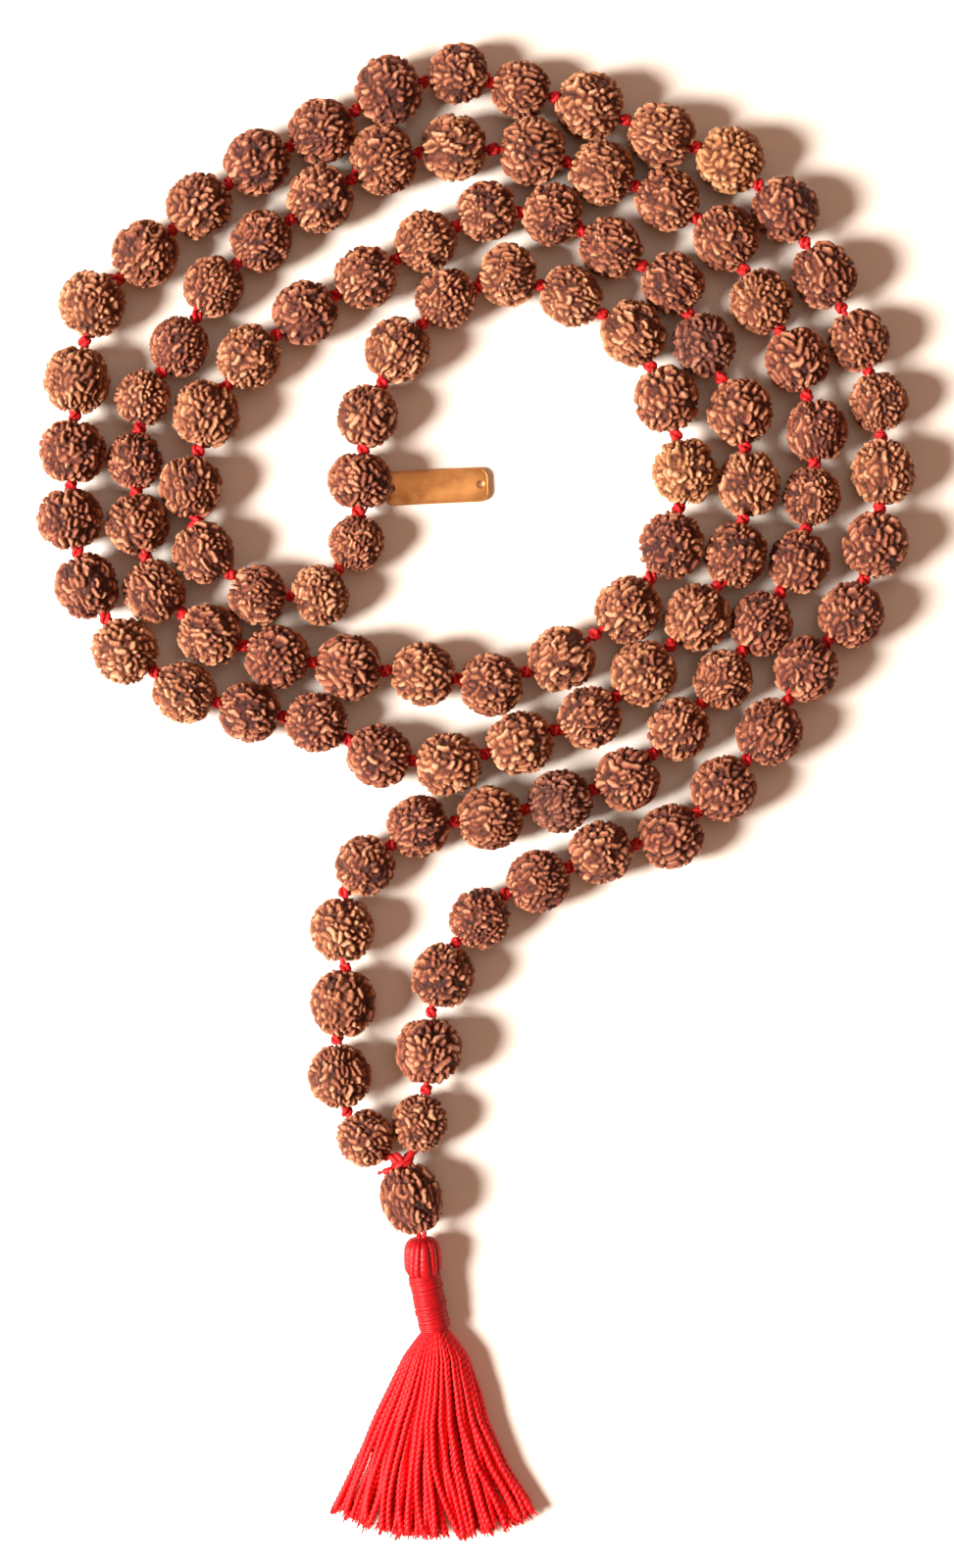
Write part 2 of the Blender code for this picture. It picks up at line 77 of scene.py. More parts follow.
def lay_out():
    """The same places and sizes as the solids: turns nudged apart until they clear."""
    p = [Vector(q) for q in ROUTE]
    n = len(p)
    goal = []
    for i in range(n):
        near = [(p[i] - p[j]).length for j in (i - 1, i + 1) if 0 <= j < n]
        goal.append(min(BEAD_MAX, max(BEAD_MIN, (sum(near) / len(near) - KNOT_GAP) / 2)))
    goal[0] = goal[-1] = BEAD_MIN + 0.1
    half = goal[:]
    fat = [max(g * BEAD_WAIST, WAIST_MIN) + PLUMP.get(i + 1, 0.0) for i, g in enumerate(goal)]
    pairs = [(i, j) for i in range(n) for j in range(i + 2, n) if (p[i] - p[j]).length < 9.5]
    for _ in range(120):
        for i, j in pairs:
            d = p[j] - p[i]
            short = fat[i] + fat[j] + CLEAR - d.length
            if short > 0:
                step = d.normalized() * short * 0.25
                p[i] -= step
                p[j] += step
                for k in (i, j):
                    fat[k] = max(WAIST_MIN, fat[k] - short * 0.06)
        for i in range(n - 1):
            d = p[i + 1] - p[i]
            short = half[i] + half[i + 1] + 0.8 * KNOT_GAP - d.length
            if short > 0:
                step = d.normalized() * short * 0.25
                p[i] -= step
                p[i + 1] += step
                for k in (i, i + 1):
                    half[k] = max(BEAD_MIN, half[k] - short * 0.12)
    return p, half, fat


P2, HALF, FAT = lay_out()
N = len(P2)
CENTRE = [Vector((p.x, p.y, r + 0.03)) for p, r in zip(P2, FAT)]   # millimetres
GATHER3 = Vector((GATHER[0], GATHER[1], 3.7))


def knot(i):
    a, b = CENTRE[i - 1], CENTRE[i]
    m = (a + b) / 2
    if i in STEM_KNOTS:
        x, y = STEM_KNOTS[i]
        m = m.lerp(Vector((x, y, m.z)), 0.6)
    return m


def axis_of(i):
    lo = knot(i - 1) if i > 1 else GATHER3
    hi = knot(i) if i < N else GATHER3
    return (hi - lo).normalized()


def along(u):
    """A rotation whose Z runs along u and whose X points as near down as it can."""
    z = u.normalized()
    down = Vector((0, 0, -1))
    x = (down - z * down.dot(z)).normalized()
    y = z.cross(x)
    return Matrix((x, y, z)).transposed()


# which body each bead and knot rides on, and the CAD node it stands for
def runs(first, last, n=3):
    out, i = [], first
    while i <= last:
        j = min(last, i + n - 1)
        if last - j == 1:
            j = last
        out.append((i, j))
        i = j + 1
    return out


RUNS = [(a, b, "coil", f"beads_{a:03d}_{b:03d}") for a, b in runs(6, 46) + runs(55, 103)]
RUNS += [(47, 48, "inner_strands", "beads_047_048"), (53, 54, "inner_strands", "beads_053_054"),
         (49, 52, "inner_end", "beads_049_052"),
         (5, 5, "coil", "bead_005_with_cord"), (104, 104, "coil", "bead_104_with_cord")]
STEM = [(4, 105), (3, 106), (2, 107), (1, 108)]
HOME = {}
for a, b, body, node in RUNS:
    for i in range(a, b + 1):
        HOME[i] = (body, node)
STEM_C = {}          # the stem's beads sit on the line of their cord
STEM_U = {}
for row, (left, right) in enumerate(STEM):
    for side, b, near in (("left", left, knot(left)), ("right", right, knot(right - 1))):
        if b == 1:
            far = GATHER3 + Vector((-1.35, 0.55, 0.0))
        elif b == 108:
            far = GATHER3 + Vector((1.35, 1.10, 0.0))
        else:
            far = knot(b - 1) if side == "left" else knot(b)
        u = (far - near).normalized()
        c = CENTRE[b - 1]
        mid = near.lerp(far, (c - near).dot(u) / (far - near).length)
        if b not in (1, 108):
            c = Vector((*c.lerp(mid, 0.5).xy, c.z))
        STEM_C[b], STEM_U[b] = c, u
        HOME[b] = (f"bead_{b:03d}", f"bead_{b:03d}")


# ------------------------------------------------------------------ seeds: the knobbly beads
def bored_sphere(cols=132, rows=72, inner=5, lip=0.215):
    """Unit directions for a sphere that is open at both poles, with the rows of a bore that
    joins the two mouths, as a closed grid.  Returns directions, bore heights and quads."""
    th = np.linspace(lip, math.pi - lip, rows)
    ph = np.arange(cols) * 2 * math.pi / cols
    v = np.stack([np.outer(np.sin(th), np.cos(ph)), np.outer(np.sin(th), np.sin(ph)),
                  np.outer(np.cos(th), np.ones(cols))], 2)
    bore = np.stack([np.tile(np.cos(ph), (inner, 1)), np.tile(np.sin(ph), (inner, 1)),
                     np.outer(np.linspace(-0.80, 0.80, inner), np.ones(cols))], 2)
    total = rows + inner
    quads = []
    for r in range(total):
        q = (r + 1) % total
        for c in range(cols):
            d = (c + 1) % cols
            quads.append((r * cols + c, q * cols + c, q * cols + d, r * cols + d))
    return v.reshape(-1, 3), bore.reshape(-1, 3), np.array(quads)


def smooth(a, b, x):
    t = np.clip((x - a) / (b - a), 0, 1)
    return t * t * (3 - 2 * t)


def wave_noise(p, rng, octaves=3, freq=2.0):
    """Cheap smooth noise on points: sums of sines in random directions, about -1 to 1."""
    out = np.zeros(len(p))
    amp = 1.0
    for _ in range(octaves):
        for _ in range(5):
            d = rng.normal(size=3)
            d /= np.linalg.norm(d)
            out += amp * np.sin(freq * (p @ d) * (0.8 + 0.5 * rng.random()) + rng.random() * 6.28) / 3.2
        amp *= 0.5
        freq *= 2.1
    return out


BASE_V, BORE_V, BASE_F = bored_sphere()


def ridge_lines(rng, gap, longest, lean):
    """Centrelines of a seed's ridges, as points and a ridge number for each: short winding rows,
    most of them laid from pole to pole, packed until no more fit."""
    cloud = rng.normal(size=(1500, 3))
    cloud /= np.linalg.norm(cloud, axis=1)[:, None]
    pts, ids = np.empty((3000, 3)), np.empty(3000, int)
    n, g = 0, 0
    near = math.cos(gap)
    for s in cloud:
        if n and (pts[:n] @ s).max() > near:
            continue
        mine = [s]
        turn = rng.normal(scale=lean)
        for way in (1, -1):
            q, b = s, turn
            for _ in range(int(rng.integers(0, longest + 1))):
                up = np.array([0, 0, 1.0]) - q * q[2]
                size = np.linalg.norm(up)
                if size < 0.25:
                    break
                up /= size
                q = q + (math.cos(b) * up + math.sin(b) * np.cross(q, up)) * way * gap * 0.45
                q /= np.linalg.norm(q)
                b += rng.normal(scale=0.42)
                if n and (pts[:n] @ q).max() > near:
                    break
                mine.append(q)
        pts[n:n + len(mine)] = mine
        ids[n:n + len(mine)] = g
        n += len(mine)
        g += 1
    return pts[:n], ids[:n], g


def seed_shape(k, gap, lobes=5, longest=4, lean=0.5, deep=0.14):
    """A rudraksha seed of radius 1: short winding ridges and nubs with deep creases between
    them, a few faint lines run pole to pole, and the ends are dished round the bore.
    Returns points, and per point the height, the crease and the ridge's tone."""
    rng = np.random.default_rng(1000 + k)
    v = BASE_V
    c, group, count = ridge_lines(rng, gap, longest, lean)
    # a little warp makes the creases wander
    w = v + 0.034 * np.stack([wave_noise(v, rng, 2, 8.0) for _ in range(3)], 1)
    w /= np.linalg.norm(w, axis=1)[:, None]
    dots = w @ c.T
    first = dots.argmax(1)
    d1 = np.arccos(np.clip(dots[np.arange(len(v)), first], -1, 1))
    mine = group[first]
    dots[mine[:, None] == group[None, :]] = -1
    d2 = np.arccos(np.clip(dots.max(1), -1, 1))
    edge = (d2 - d1) / gap                         # 0 in a crease, about 1 along a ridge
    uneven = 0.5 + 0.5 * np.clip(wave_noise(v, rng, 2, 6.5) * 1.3, -1, 1)
    rise = smooth(-0.10 - 0.62 * uneven, 0.80 + 0.10 * uneven, edge)
    dome = 1 - 0.50 * np.clip(d1 / (0.62 * gap), 0, 1.3) ** 1.6
    beaded = 1 + 0.17 * wave_noise(v, rng, 2, 13.0)     # nubs along a ridge
    tall = rng.random(count)
    # the sunk ridges sit low, so the colour by height paints them dark: painted shade in the pits
    tall = np.where(tall < 0.12, 0.25, 0.52 + 0.62 * tall ** 1.2)      # a few are sunk: dark pits
    h = rise * dome * beaded * tall[mine]
    tone = rng.random(count)[mine]
    # the five lines from pole to pole
    lon = np.arctan2(v[:, 1], v[:, 0])
    rad = np.sqrt(v[:, 0] ** 2 + v[:, 1] ** 2)
    line = np.full(len(v), 9.0)
    start = rng.random() * 6.28
    for q in range(lobes):
        at = start + q * 2 * math.pi / lobes + rng.normal(scale=0.10) + 0.05 * np.sin(4.0 * v[:, 2] + rng.random() * 6)
        d = np.abs((lon - at + math.pi) % (2 * math.pi) - math.pi) * rad
        line = np.minimum(line, d)
    groove = (1 - smooth(0.010, 0.060, line)) * rng.uniform(0.15, 0.75)
    h = h * (1 - 0.80 * groove)
    # fine grain
    h += 0.030 * wave_noise(v, rng, 2, 26.0)
    # body: slightly lobed, dished at the poles
    lobed = 0.016 * np.cos(lobes * (lon - start)) * -1.0 * rad
    pole = np.abs(v[:, 2])
    r = 0.858 + lobed + 0.018 * wave_noise(v, rng, 1, 2.8) + deep * h - 0.022 * groove
    r = np.minimum(r - 0.055 * smooth(0.930, 0.978, pole), 1.03)
    p = v * r[:, None]
    p[:, 2] = np.clip(p[:, 2] * 1.07, -1.0, 1.0)
    # the bore: a plain hole, a little rough
    hole = BORE_V.copy()
    hole[:, :2] *= 0.188 + 0.006 * wave_noise(BORE_V * 3, rng, 1, 4.0)[:, None]
    n = len(hole)
    p = np.concatenate([p, hole])
    # the bore gets a low height and a high crease value: painted shade inside the hole
    h = np.concatenate([np.clip(h, 0, 1.1), np.full(n, 0.05)])
    # the crease mask, high in the creases and the pole-to-pole lines, is where the material paints shade
    crease = np.concatenate([1 - rise * (1 - groove), np.full(n, 0.8)])
    return p, h, crease, np.concatenate([tone, np.full(n, 0.3)])


def mesh_from(name, verts, quads, tris=None, **attributes):
    """A mesh from arrays of points (metres or unit), quads and triangles, with float attributes."""
    me = bpy.data.meshes.new(name)
    tris = np.zeros((0, 3), int) if tris is None or not len(tris) else np.asarray(tris)
    me.vertices.add(len(verts))
    me.vertices.foreach_set("co", np.asarray(verts, np.float32).ravel())
    loops = np.concatenate([np.asarray(quads, np.int32).ravel(), tris.astype(np.int32).ravel()])
    sizes = np.concatenate([np.full(len(quads), 4), np.full(len(tris), 3)]).astype(np.int32)
    me.loops.add(len(loops))
    me.loops.foreach_set("vertex_index", loops)
    me.polygons.add(len(sizes))
    me.polygons.foreach_set("loop_start", np.concatenate([[0], np.cumsum(sizes)[:-1]]).astype(np.int32))
    me.polygons.foreach_set("loop_total", sizes)
    me.update(calc_edges=True)
    me.validate()
    for nm, val in attributes.items():
        at = me.attributes.new(nm, "FLOAT", "POINT")
        at.data.foreach_set("value", np.asarray(val, np.float32))
    me.shade_smooth()
    return me


def seed_mesh(name, k, gap, **shape):
    p, h, crease, tone = seed_shape(k, gap, **shape)
    return mesh_from(name, p, BASE_F, height=h, crease=crease, tone=tone)


# ------------------------------------------------------------------ materials
def srgb(r, g, b):
    def f(c):
        c /= 255.0
        return c / 12.92 if c <= 0.04045 else ((c + 0.055) / 1.055) ** 2.4
    return (f(r), f(g), f(b), 1.0)


class Nodes:
    """Small helper for building a node material."""

    def __init__(self, name):
        self.m = bpy.data.materials.new(name)
        self.m.use_nodes = True
        self.t = self.m.node_tree
        self.t.nodes.clear()
        self.out = self.add("ShaderNodeOutputMaterial")
        self.b = self.add("ShaderNodeBsdfPrincipled")
        self.link(self.b.outputs[0], self.out.inputs[0])

    def add(self, kind, **values):
        n = self.t.nodes.new(kind)
        for k, v in values.items():
            if k.startswith("in_"):
                key = k[3:]
                n.inputs[int(key) if key.isdigit() else key].default_value = v
            else:
                setattr(n, k, v)
        return n

    def link(self, a, b):
        self.t.links.new(a, b)

    def attr(self, name):
        n = self.add("ShaderNodeAttribute", attribute_name=name)
        return n.outputs["Fac"]

    def coords(self, kind="Object"):
        return self.add("ShaderNodeTexCoord").outputs[kind]

    def noise(self, vec, scale, detail=3.0, rough=0.5, distortion=0.0):
        n = self.add("ShaderNodeTexNoise")
        n.inputs["Scale"].default_value = scale
        n.inputs["Detail"].default_value = detail
        n.inputs["Roughness"].default_value = rough
        n.inputs["Distortion"].default_value = distortion
        self.link(vec, n.inputs["Vector"])
        return n.outputs["Fac"]

    def math(self, op, a, b=None, c=None, clamp=False):
        n = self.add("ShaderNodeMath", operation=op, use_clamp=clamp)
        for k, x in enumerate((a, b, c)):
            if x is None:
                continue
            if isinstance(x, (int, float)):
                n.inputs[k].default_value = x
            else:
                self.link(x, n.inputs[k])
        return n.outputs[0]

    def ramp(self, fac, stops, mode="LINEAR"):
        n = self.add("ShaderNodeValToRGB")
        n.color_ramp.interpolation = mode
        e = n.color_ramp.elements
        while len(e) < len(stops):
            e.new(0.5)
        for el, (pos, col) in zip(e, stops):
            el.position = pos
            el.color = col
        self.link(fac, n.inputs[0])
        return n.outputs[0]

    def mix(self, fac, a, b, blend="MIX"):
        n = self.add("ShaderNodeMix", data_type="RGBA", blend_type=blend)
        for sock, x in ((n.inputs[0], fac), (n.inputs[6], a), (n.inputs[7], b)):
            if isinstance(x, (int, float, tuple)):
                sock.default_value = x
            else:
                self.link(x, sock)
        return n.outputs[2]

    def map(self, x, a, b, c, d):
        n = self.add("ShaderNodeMapRange")
        n.inputs[1].default_value, n.inputs[2].default_value = a, b
        n.inputs[3].default_value, n.inputs[4].default_value = c, d
        self.link(x, n.inputs[0])
        return n.outputs[0]

    def bump(self, height, strength, distance, after=None):
        n = self.add("ShaderNodeBump")
        n.inputs["Strength"].default_value = strength
        n.inputs["Distance"].default_value = distance
        self.link(height, n.inputs["Height"])
        if after is not None:
            self.link(after, n.inputs["Normal"])
        return n.outputs[0]


def seed_material(name, crease, low, mid, high, tip, rough=0.58):
    """Painted shade in the creases, in a dark, reddish colour; brown flanks; tan nubs, partly wear and partly painted
    highlight; with grain and dust.
    """
    n = Nodes(name)
    co = n.coords()
    h = n.attr("height")
    crease_shade_mask = n.attr("crease")
    tone = n.attr("tone")
    grain = n.noise(co, 9.0, 4.0, 0.62)
    patch = n.noise(co, 1.6, 2.0, 0.5)
    fine = n.noise(co, 34.0, 3.0, 0.6)
    x = n.math("ADD", h, n.math("MULTIPLY", n.math("SUBTRACT", grain, 0.5), 0.34))
    x = n.math("ADD", x, n.math("MULTIPLY", n.math("SUBTRACT", tone, 0.5), 0.30))
    x = n.math("ADD", x, n.math("MULTIPLY", n.math("SUBTRACT", patch, 0.5), 0.30))
    # colour by height: low points take the crease colour as painted shade, ridge tops take the tip colour, partly wear
    # and partly painted highlight
    col = n.ramp(x, [(0.02, crease), (0.20, low), (0.42, mid), (0.68, high), (0.92, tip)])
    # the crease mask mixes in the crease colour: painted shade in the creases, the pole-to-pole lines and the bore
    deep = n.map(crease_shade_mask, 0.50, 0.95, 0.0, 0.80)
    col = n.mix(deep, col, crease)
    # the reddish cast of an oiled seed, in patches
    red = n.map(n.noise(co, 2.6, 2.0, 0.6), 0.45, 0.75, 0.0, 0.30)
    col = n.mix(red, col, (mid[0] * 1.15, mid[1] * 0.72, mid[2] * 0.70, 1.0))
    speck = n.map(fine, 0.60, 0.78, 0.0, 0.45)
    col = n.mix(speck, col, tip)
    n.link(col, n.b.inputs["Base Color"])
    r = n.map(x, 0.0, 1.0, rough + 0.22, rough - 0.10)
    r = n.math("ADD", r, n.math("MULTIPLY", n.math("SUBTRACT", fine, 0.5), 0.22), clamp=True)
    n.link(r, n.b.inputs["Roughness"])
    n.b.inputs["Specular IOR Level"].default_value = 0.50
    b1 = n.bump(grain, 0.55, 0.05)
    b2 = n.bump(fine, 0.45, 0.016, b1)
    n.link(b2, n.b.inputs["Normal"])
    return n.m


# ------------------------------------------------------------------ threads: twisted yarn and cord
def curve_points(points, step):
    """Evenly spaced points on a Catmull-Rom curve through the given ones (mm)."""
    p = [np.array(q, float) for q in points]
    p = [2 * p[0] - p[1]] + p + [2 * p[-1] - p[-2]]
    dense = []
    for a, b, c, d in zip(p, p[1:], p[2:], p[3:]):
        for t in np.linspace(0, 1, 24, endpoint=False):
            dense.append(0.5 * (2 * b + (c - a) * t + (2 * a - 5 * b + 4 * c - d) * t * t
                                + (3 * b - a - 3 * c + d) * t ** 3))
    dense.append(p[-2])
    dense = np.array(dense)
    s = np.concatenate([[0], np.cumsum(np.linalg.norm(np.diff(dense, axis=0), axis=1))])
    n = max(3, int(round(s[-1] / step)) + 1)
    at = np.linspace(0, s[-1], n)
    return np.stack([np.interp(at, s, dense[:, k]) for k in range(3)], 1)


class Threads:
    """Gathers tubes of twisted thread into one mesh."""

    def __init__(self):
        self.v, self.q, self.t = [], [], []
        self.groove, self.tone, self.run = [], [], []
        self.n = 0

    def tube(self, path, radius, sides=10, plies=2, depth=0.2, pitch=1.2, phase=0.0, tone=0.5,
             closed=False, axis=None, caps=True):
        path = np.asarray(path, float)
        n = len(path)
        r = np.broadcast_to(np.asarray(radius, float), (n,))
        if closed:
            tan = np.roll(path, -1, 0) - np.roll(path, 1, 0)
        else:
            tan = np.gradient(path, axis=0)
        tan /= np.linalg.norm(tan, axis=1)[:, None]
        step = np.linalg.norm(np.diff(path, axis=0), axis=1)
        s = np.concatenate([[0], np.cumsum(step)])
        if axis is not None:
            nor = np.cross(tan, np.asarray(axis, float))
            nor /= np.linalg.norm(nor, axis=1)[:, None]
        else:
            first = np.array((0.0, 0.0, 1.0)) if abs(tan[0][2]) < 0.9 else np.array((1.0, 0.0, 0.0))
            nor = np.zeros((n, 3))
            m = first - tan[0] * first.dot(tan[0])
            nor[0] = m / np.linalg.norm(m)
            for k in range(1, n):
                m = nor[k - 1] - tan[k] * nor[k - 1].dot(tan[k])
                nor[k] = m / np.linalg.norm(m)
        bi = np.cross(tan, nor)
        phi = np.arange(sides) * 2 * math.pi / sides
        twist = phase + 2 * math.pi * s / pitch
        wave = np.abs(np.cos(plies / 2 * (phi[None, :] - twist[:, None])))
        rr = r[:, None] * (1 - depth + depth * wave ** 0.8)
        ring = path[:, None, :] + rr[..., None] * (np.cos(phi)[None, :, None] * nor[:, None, :]
                                                   + np.sin(phi)[None, :, None] * bi[:, None, :])
        base = self.n
        self.v.append(ring.reshape(-1, 3))
        # the ply profile is stored as groove: the thread material turns it into painted shade in the lay of the twist
        # and painted highlight on the crests
        self.groove.append(wave.ravel())
        self.tone.append(np.full(n * sides, tone))
        self.run.append(np.repeat(s, sides))
        k = np.arange(n if closed else n - 1)
        c = np.arange(sides)
        a0 = (k[:, None] * sides + c[None, :])
        a1 = (((k + 1) % n)[:, None] * sides + c[None, :])
        b1 = (((k + 1) % n)[:, None] * sides + ((c + 1) % sides)[None, :])
        b0 = (k[:, None] * sides + ((c + 1) % sides)[None, :])
        self.q.append(base + np.stack([a0, b0, b1, a1], 2).reshape(-1, 4))
        self.n += n * sides
        if not closed and caps:
            for end, way in ((0, -1), (n - 1, 1)):
                self.v.append((path[end] + tan[end] * way * r[end] * 0.35)[None, :])
                self.groove.append([0.5])
                self.tone.append([tone])
                self.run.append([s[end]])
                tip = self.n
                self.n += 1
                row = base + end * sides + c
                nxt = base + end * sides + (c + 1) % sides
                tri = (np.full(sides, tip), nxt, row) if way < 0 else (np.full(sides, tip), row, nxt)
                self.t.append(np.stack(tri, 1))

    def sheet_of(self, verts, quads, tone=0.5, groove=None):
        """Any other closed surface (mm) that belongs with the threads."""
        verts = np.asarray(verts, float)
        self.v.append(verts)
        self.groove.append(np.full(len(verts), 0.5) if groove is None else np.asarray(groove, float))
        self.tone.append(np.broadcast_to(np.asarray(tone, float), (len(verts),)).copy())
        self.run.append(verts[:, 1].copy())
        self.q.append(self.n + np.asarray(quads))
        self.n += len(verts)

    def piece(self, name, material, body, nodes):
        verts = (np.concatenate(self.v) + np.array(MIDDLE)) * MM
        tris = np.concatenate(self.t) if self.t else None
        me = mesh_from(name, verts, np.concatenate(self.q), tris, groove=np.concatenate(self.groove),
                       tone=np.concatenate(self.tone), run=np.concatenate(self.run))
        me.materials.append(material)
        return place(bpy.data.objects.new(name, me), body, nodes)


def place(o, body, nodes):
    bpy.context.scene.collection.objects.link(o)
    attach(o, body)
    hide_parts(*([nodes] if isinstance(nodes, str) else nodes))
    return o


def thread_material(name, deep, base, light, rough=0.62, sheen=0.25, fibre=60.0, spread=0.5):
    """Dyed twisted thread: painted shade in the lay of the twist and painted highlight on its crests, fine fibres,
    uneven dye.
    """
    n = Nodes(name)
    co = n.coords("Object")
    groove = n.attr("groove")
    tone = n.attr("tone")
    scaled = n.add("ShaderNodeVectorMath", operation="SCALE")
    n.link(co, scaled.inputs[0])
    scaled.inputs["Scale"].default_value = 1000.0
    mm = scaled.outputs[0]
    fine = n.noise(mm, fibre / 10, 3.0, 0.65)
    dye = n.noise(mm, 0.55, 2.0, 0.5)
    # the ply profile darkens the lay of the twist and lightens the crests: painted shade and painted highlight; tone
    # and dye vary at random
    x = n.math("ADD", n.math("MULTIPLY", groove, 0.42), n.math("MULTIPLY", fine, 0.30))
    x = n.math("ADD", x, n.math("MULTIPLY", tone, spread * 0.55))
    x = n.math("ADD", x, n.math("MULTIPLY", n.math("SUBTRACT", dye, 0.5), 0.30))
    col = n.ramp(x, [(0.12, deep), (0.50, base), (0.98, light)])
    n.link(col, n.b.inputs["Base Color"])
    r = n.math("ADD", n.math("MULTIPLY", fine, 0.25), rough - 0.12, clamp=True)
    n.link(r, n.b.inputs["Roughness"])
    n.b.inputs["Sheen Weight"].default_value = sheen
    n.b.inputs["Sheen Roughness"].default_value = 0.45
    n.b.inputs["Sheen Tint"].default_value = (1.0, 0.45, 0.42, 1.0)
    n.b.inputs["Specular IOR Level"].default_value = 0.26
    # fine fibres: a bump from the fine noise
    n.link(n.bump(fine, 0.35, 0.00004), n.b.inputs["Normal"])
    return n.m


def metal_material(name, colour, dark):
    """Satin gold-coloured plate: fine brushing along its length, wear and faint tarnish."""
    n = Nodes(name)
    co = n.coords("Object")
    scaled = n.add("ShaderNodeVectorMath", operation="MULTIPLY")
    n.link(co, scaled.inputs[0])
    scaled.inputs[1].default_value = (1000.0, 16000.0, 4000.0)
    brush = n.noise(scaled.outputs[0], 1.2, 4.0, 0.6)
    even = n.add("ShaderNodeVectorMath", operation="SCALE")
    n.link(co, even.inputs[0])
    even.inputs["Scale"].default_value = 1000.0
    patch = n.noise(even.outputs[0], 0.35, 3.0, 0.55)
    pits = n.noise(even.outputs[0], 7.0, 3.0, 0.7)
    x = n.math("ADD", n.math("MULTIPLY", patch, 0.75), n.math("MULTIPLY", brush, 0.25))
    col = n.ramp(x, [(0.30, dark), (0.52, colour), (0.75, (min(1, colour[0] * 1.18), colour[1] * 1.15, colour[2] * 1.1, 1.0))])
    spots = n.map(pits, 0.66, 0.78, 0.0, 0.35)
    col = n.mix(spots, col, dark)
    n.link(col, n.b.inputs["Base Color"])
    n.b.inputs["Metallic"].default_value = 0.92
    r = n.math("ADD", n.math("MULTIPLY", brush, 0.18), n.math("MULTIPLY", patch, 0.14))
    n.link(n.math("ADD", r, 0.20, clamp=True), n.b.inputs["Roughness"])
    n.link(n.bump(pits, 0.15, 0.00002, n.bump(brush, 0.25, 0.00002)), n.b.inputs["Normal"])
    return n.m


# ------------------------------------------------------------------ the materials in use
# each seed colour runs from a dark crease colour for painted shade, through brown flanks, to a light tip colour that is
# partly wear and partly painted highlight
SEED_MATS = [
    seed_material("seed_brown", srgb(66, 25, 17), srgb(108, 53, 36), srgb(156, 87, 58), srgb(202, 126, 88), srgb(244, 180, 140), 0.54),
    seed_material("seed_red_brown", srgb(62, 23, 18), srgb(100, 47, 34), srgb(148, 78, 54), srgb(190, 114, 81), srgb(234, 166, 128), 0.55),
    seed_material("seed_tan", srgb(76, 32, 20), srgb(120, 63, 41), srgb(170, 100, 66), srgb(215, 143, 100), srgb(248, 190, 148), 0.52),
    seed_material("seed_golden", srgb(88, 40, 20), srgb(138, 78, 46), srgb(192, 123, 76), srgb(230, 163, 112), srgb(250, 205, 160), 0.52),
    seed_material("seed_maroon", srgb(56, 22, 18), srgb(92, 45, 34), srgb(136, 76, 57), srgb(168, 104, 80), srgb(206, 142, 114), 0.58),
]
# each thread colour runs from a dark colour for painted shade in the lay of the twist, through the dye, to a light
# colour that is partly painted highlight on the crests
CORD_RED = thread_material("red_cord_thread", srgb(92, 2, 8), srgb(180, 14, 22), srgb(222, 46, 44), rough=0.55, sheen=0.1)
YARN_RED = thread_material("red_tassel_yarn", srgb(130, 1, 6), srgb(214, 2, 14), srgb(248, 22, 30), rough=0.52, sheen=0.03, spread=0.7)
WRAP_RED = thread_material("red_tassel_wrap", srgb(84, 1, 6), srgb(162, 4, 15), srgb(204, 20, 29), rough=0.46, sheen=0.04)
GOLD = metal_material("satin_gold", srgb(212, 152, 92), srgb(172, 112, 60))

# ------------------------------------------------------------------ the beads
KINDS = []
for k in range(14):
    gap = (0.152, 0.138, 0.160, 0.134, 0.146, 0.137, 0.156, 0.143, 0.139, 0.162, 0.141, 0.135, 0.150, 0.144)[k]
    KINDS.append(seed_mesh(f"seed_kind_{k:02d}", k, gap, lobes=(5, 5, 5, 5, 6, 5, 4)[k % 7],
                           longest=(4, 6, 3, 5, 4, 3, 5)[k % 7], lean=(0.5, 0.35, 0.8, 0.5, 0.4, 0.9, 0.6)[k % 7],
                           deep=(0.205, 0.185, 0.215, 0.195)[k % 4]))
GURU_KIND = seed_mesh("seed_kind_guru", 77, 0.146, longest=7, lean=0.25, deep=0.205)
TONES = {}


def tinted(kind, mat):
    """One mesh per shape and colour, shared by the beads that have both."""
    if (kind.name, mat.name) not in TONES:
        me = kind.copy()
        me.name = f"{kind.name}_{mat.name}"
        me.materials.clear()
        me.materials.append(mat)
        TONES[kind.name, mat.name] = me
    return TONES[kind.name, mat.name]


SPECIAL = {2: 0, 105: 1, 106: 0, 107: 1, 40: 3, 91: 3, 90: 2, 48: 1, 97: 1, 80: 2, 67: 2, 70: 2, 35: 2, 37: 2, 46: 2, 71: 2, 4: 2, 8: 4, 63: 4, 86: 1, 98: 1}
pick = np.random.default_rng(20)
for b in range(1, N + 1):
    body, node = HOME[b]
    c, u = (STEM_C[b], STEM_U[b]) if b in STEM_C else (CENTRE[b - 1], axis_of(b))
    half = HALF[b - 1]
    r = FAT[b - 1] * (1.06 if b == 48 else 1.02)
    kind = int(pick.integers(0, len(KINDS)))
    shade = SPECIAL.get(b, int(pick.choice([0, 0, 0, 1, 1, 2])))
    spin = float(pick.random() * 2 * math.pi)
    end = 1 if pick.random() < 0.5 else -1
    o = bpy.data.objects.new(f"seed_{b:03d}", tinted(KINDS[kind], SEED_MATS[shade]))
    o.matrix_world = (Matrix.Translation((c + MIDDLE) * MM) @ along(u * end).to_4x4() @ Matrix.Rotation(spin, 4, "Z")
                      @ Matrix.Diagonal((r * MM, r * MM, half * 0.985 * MM, 1)))
    place(o, body, node)

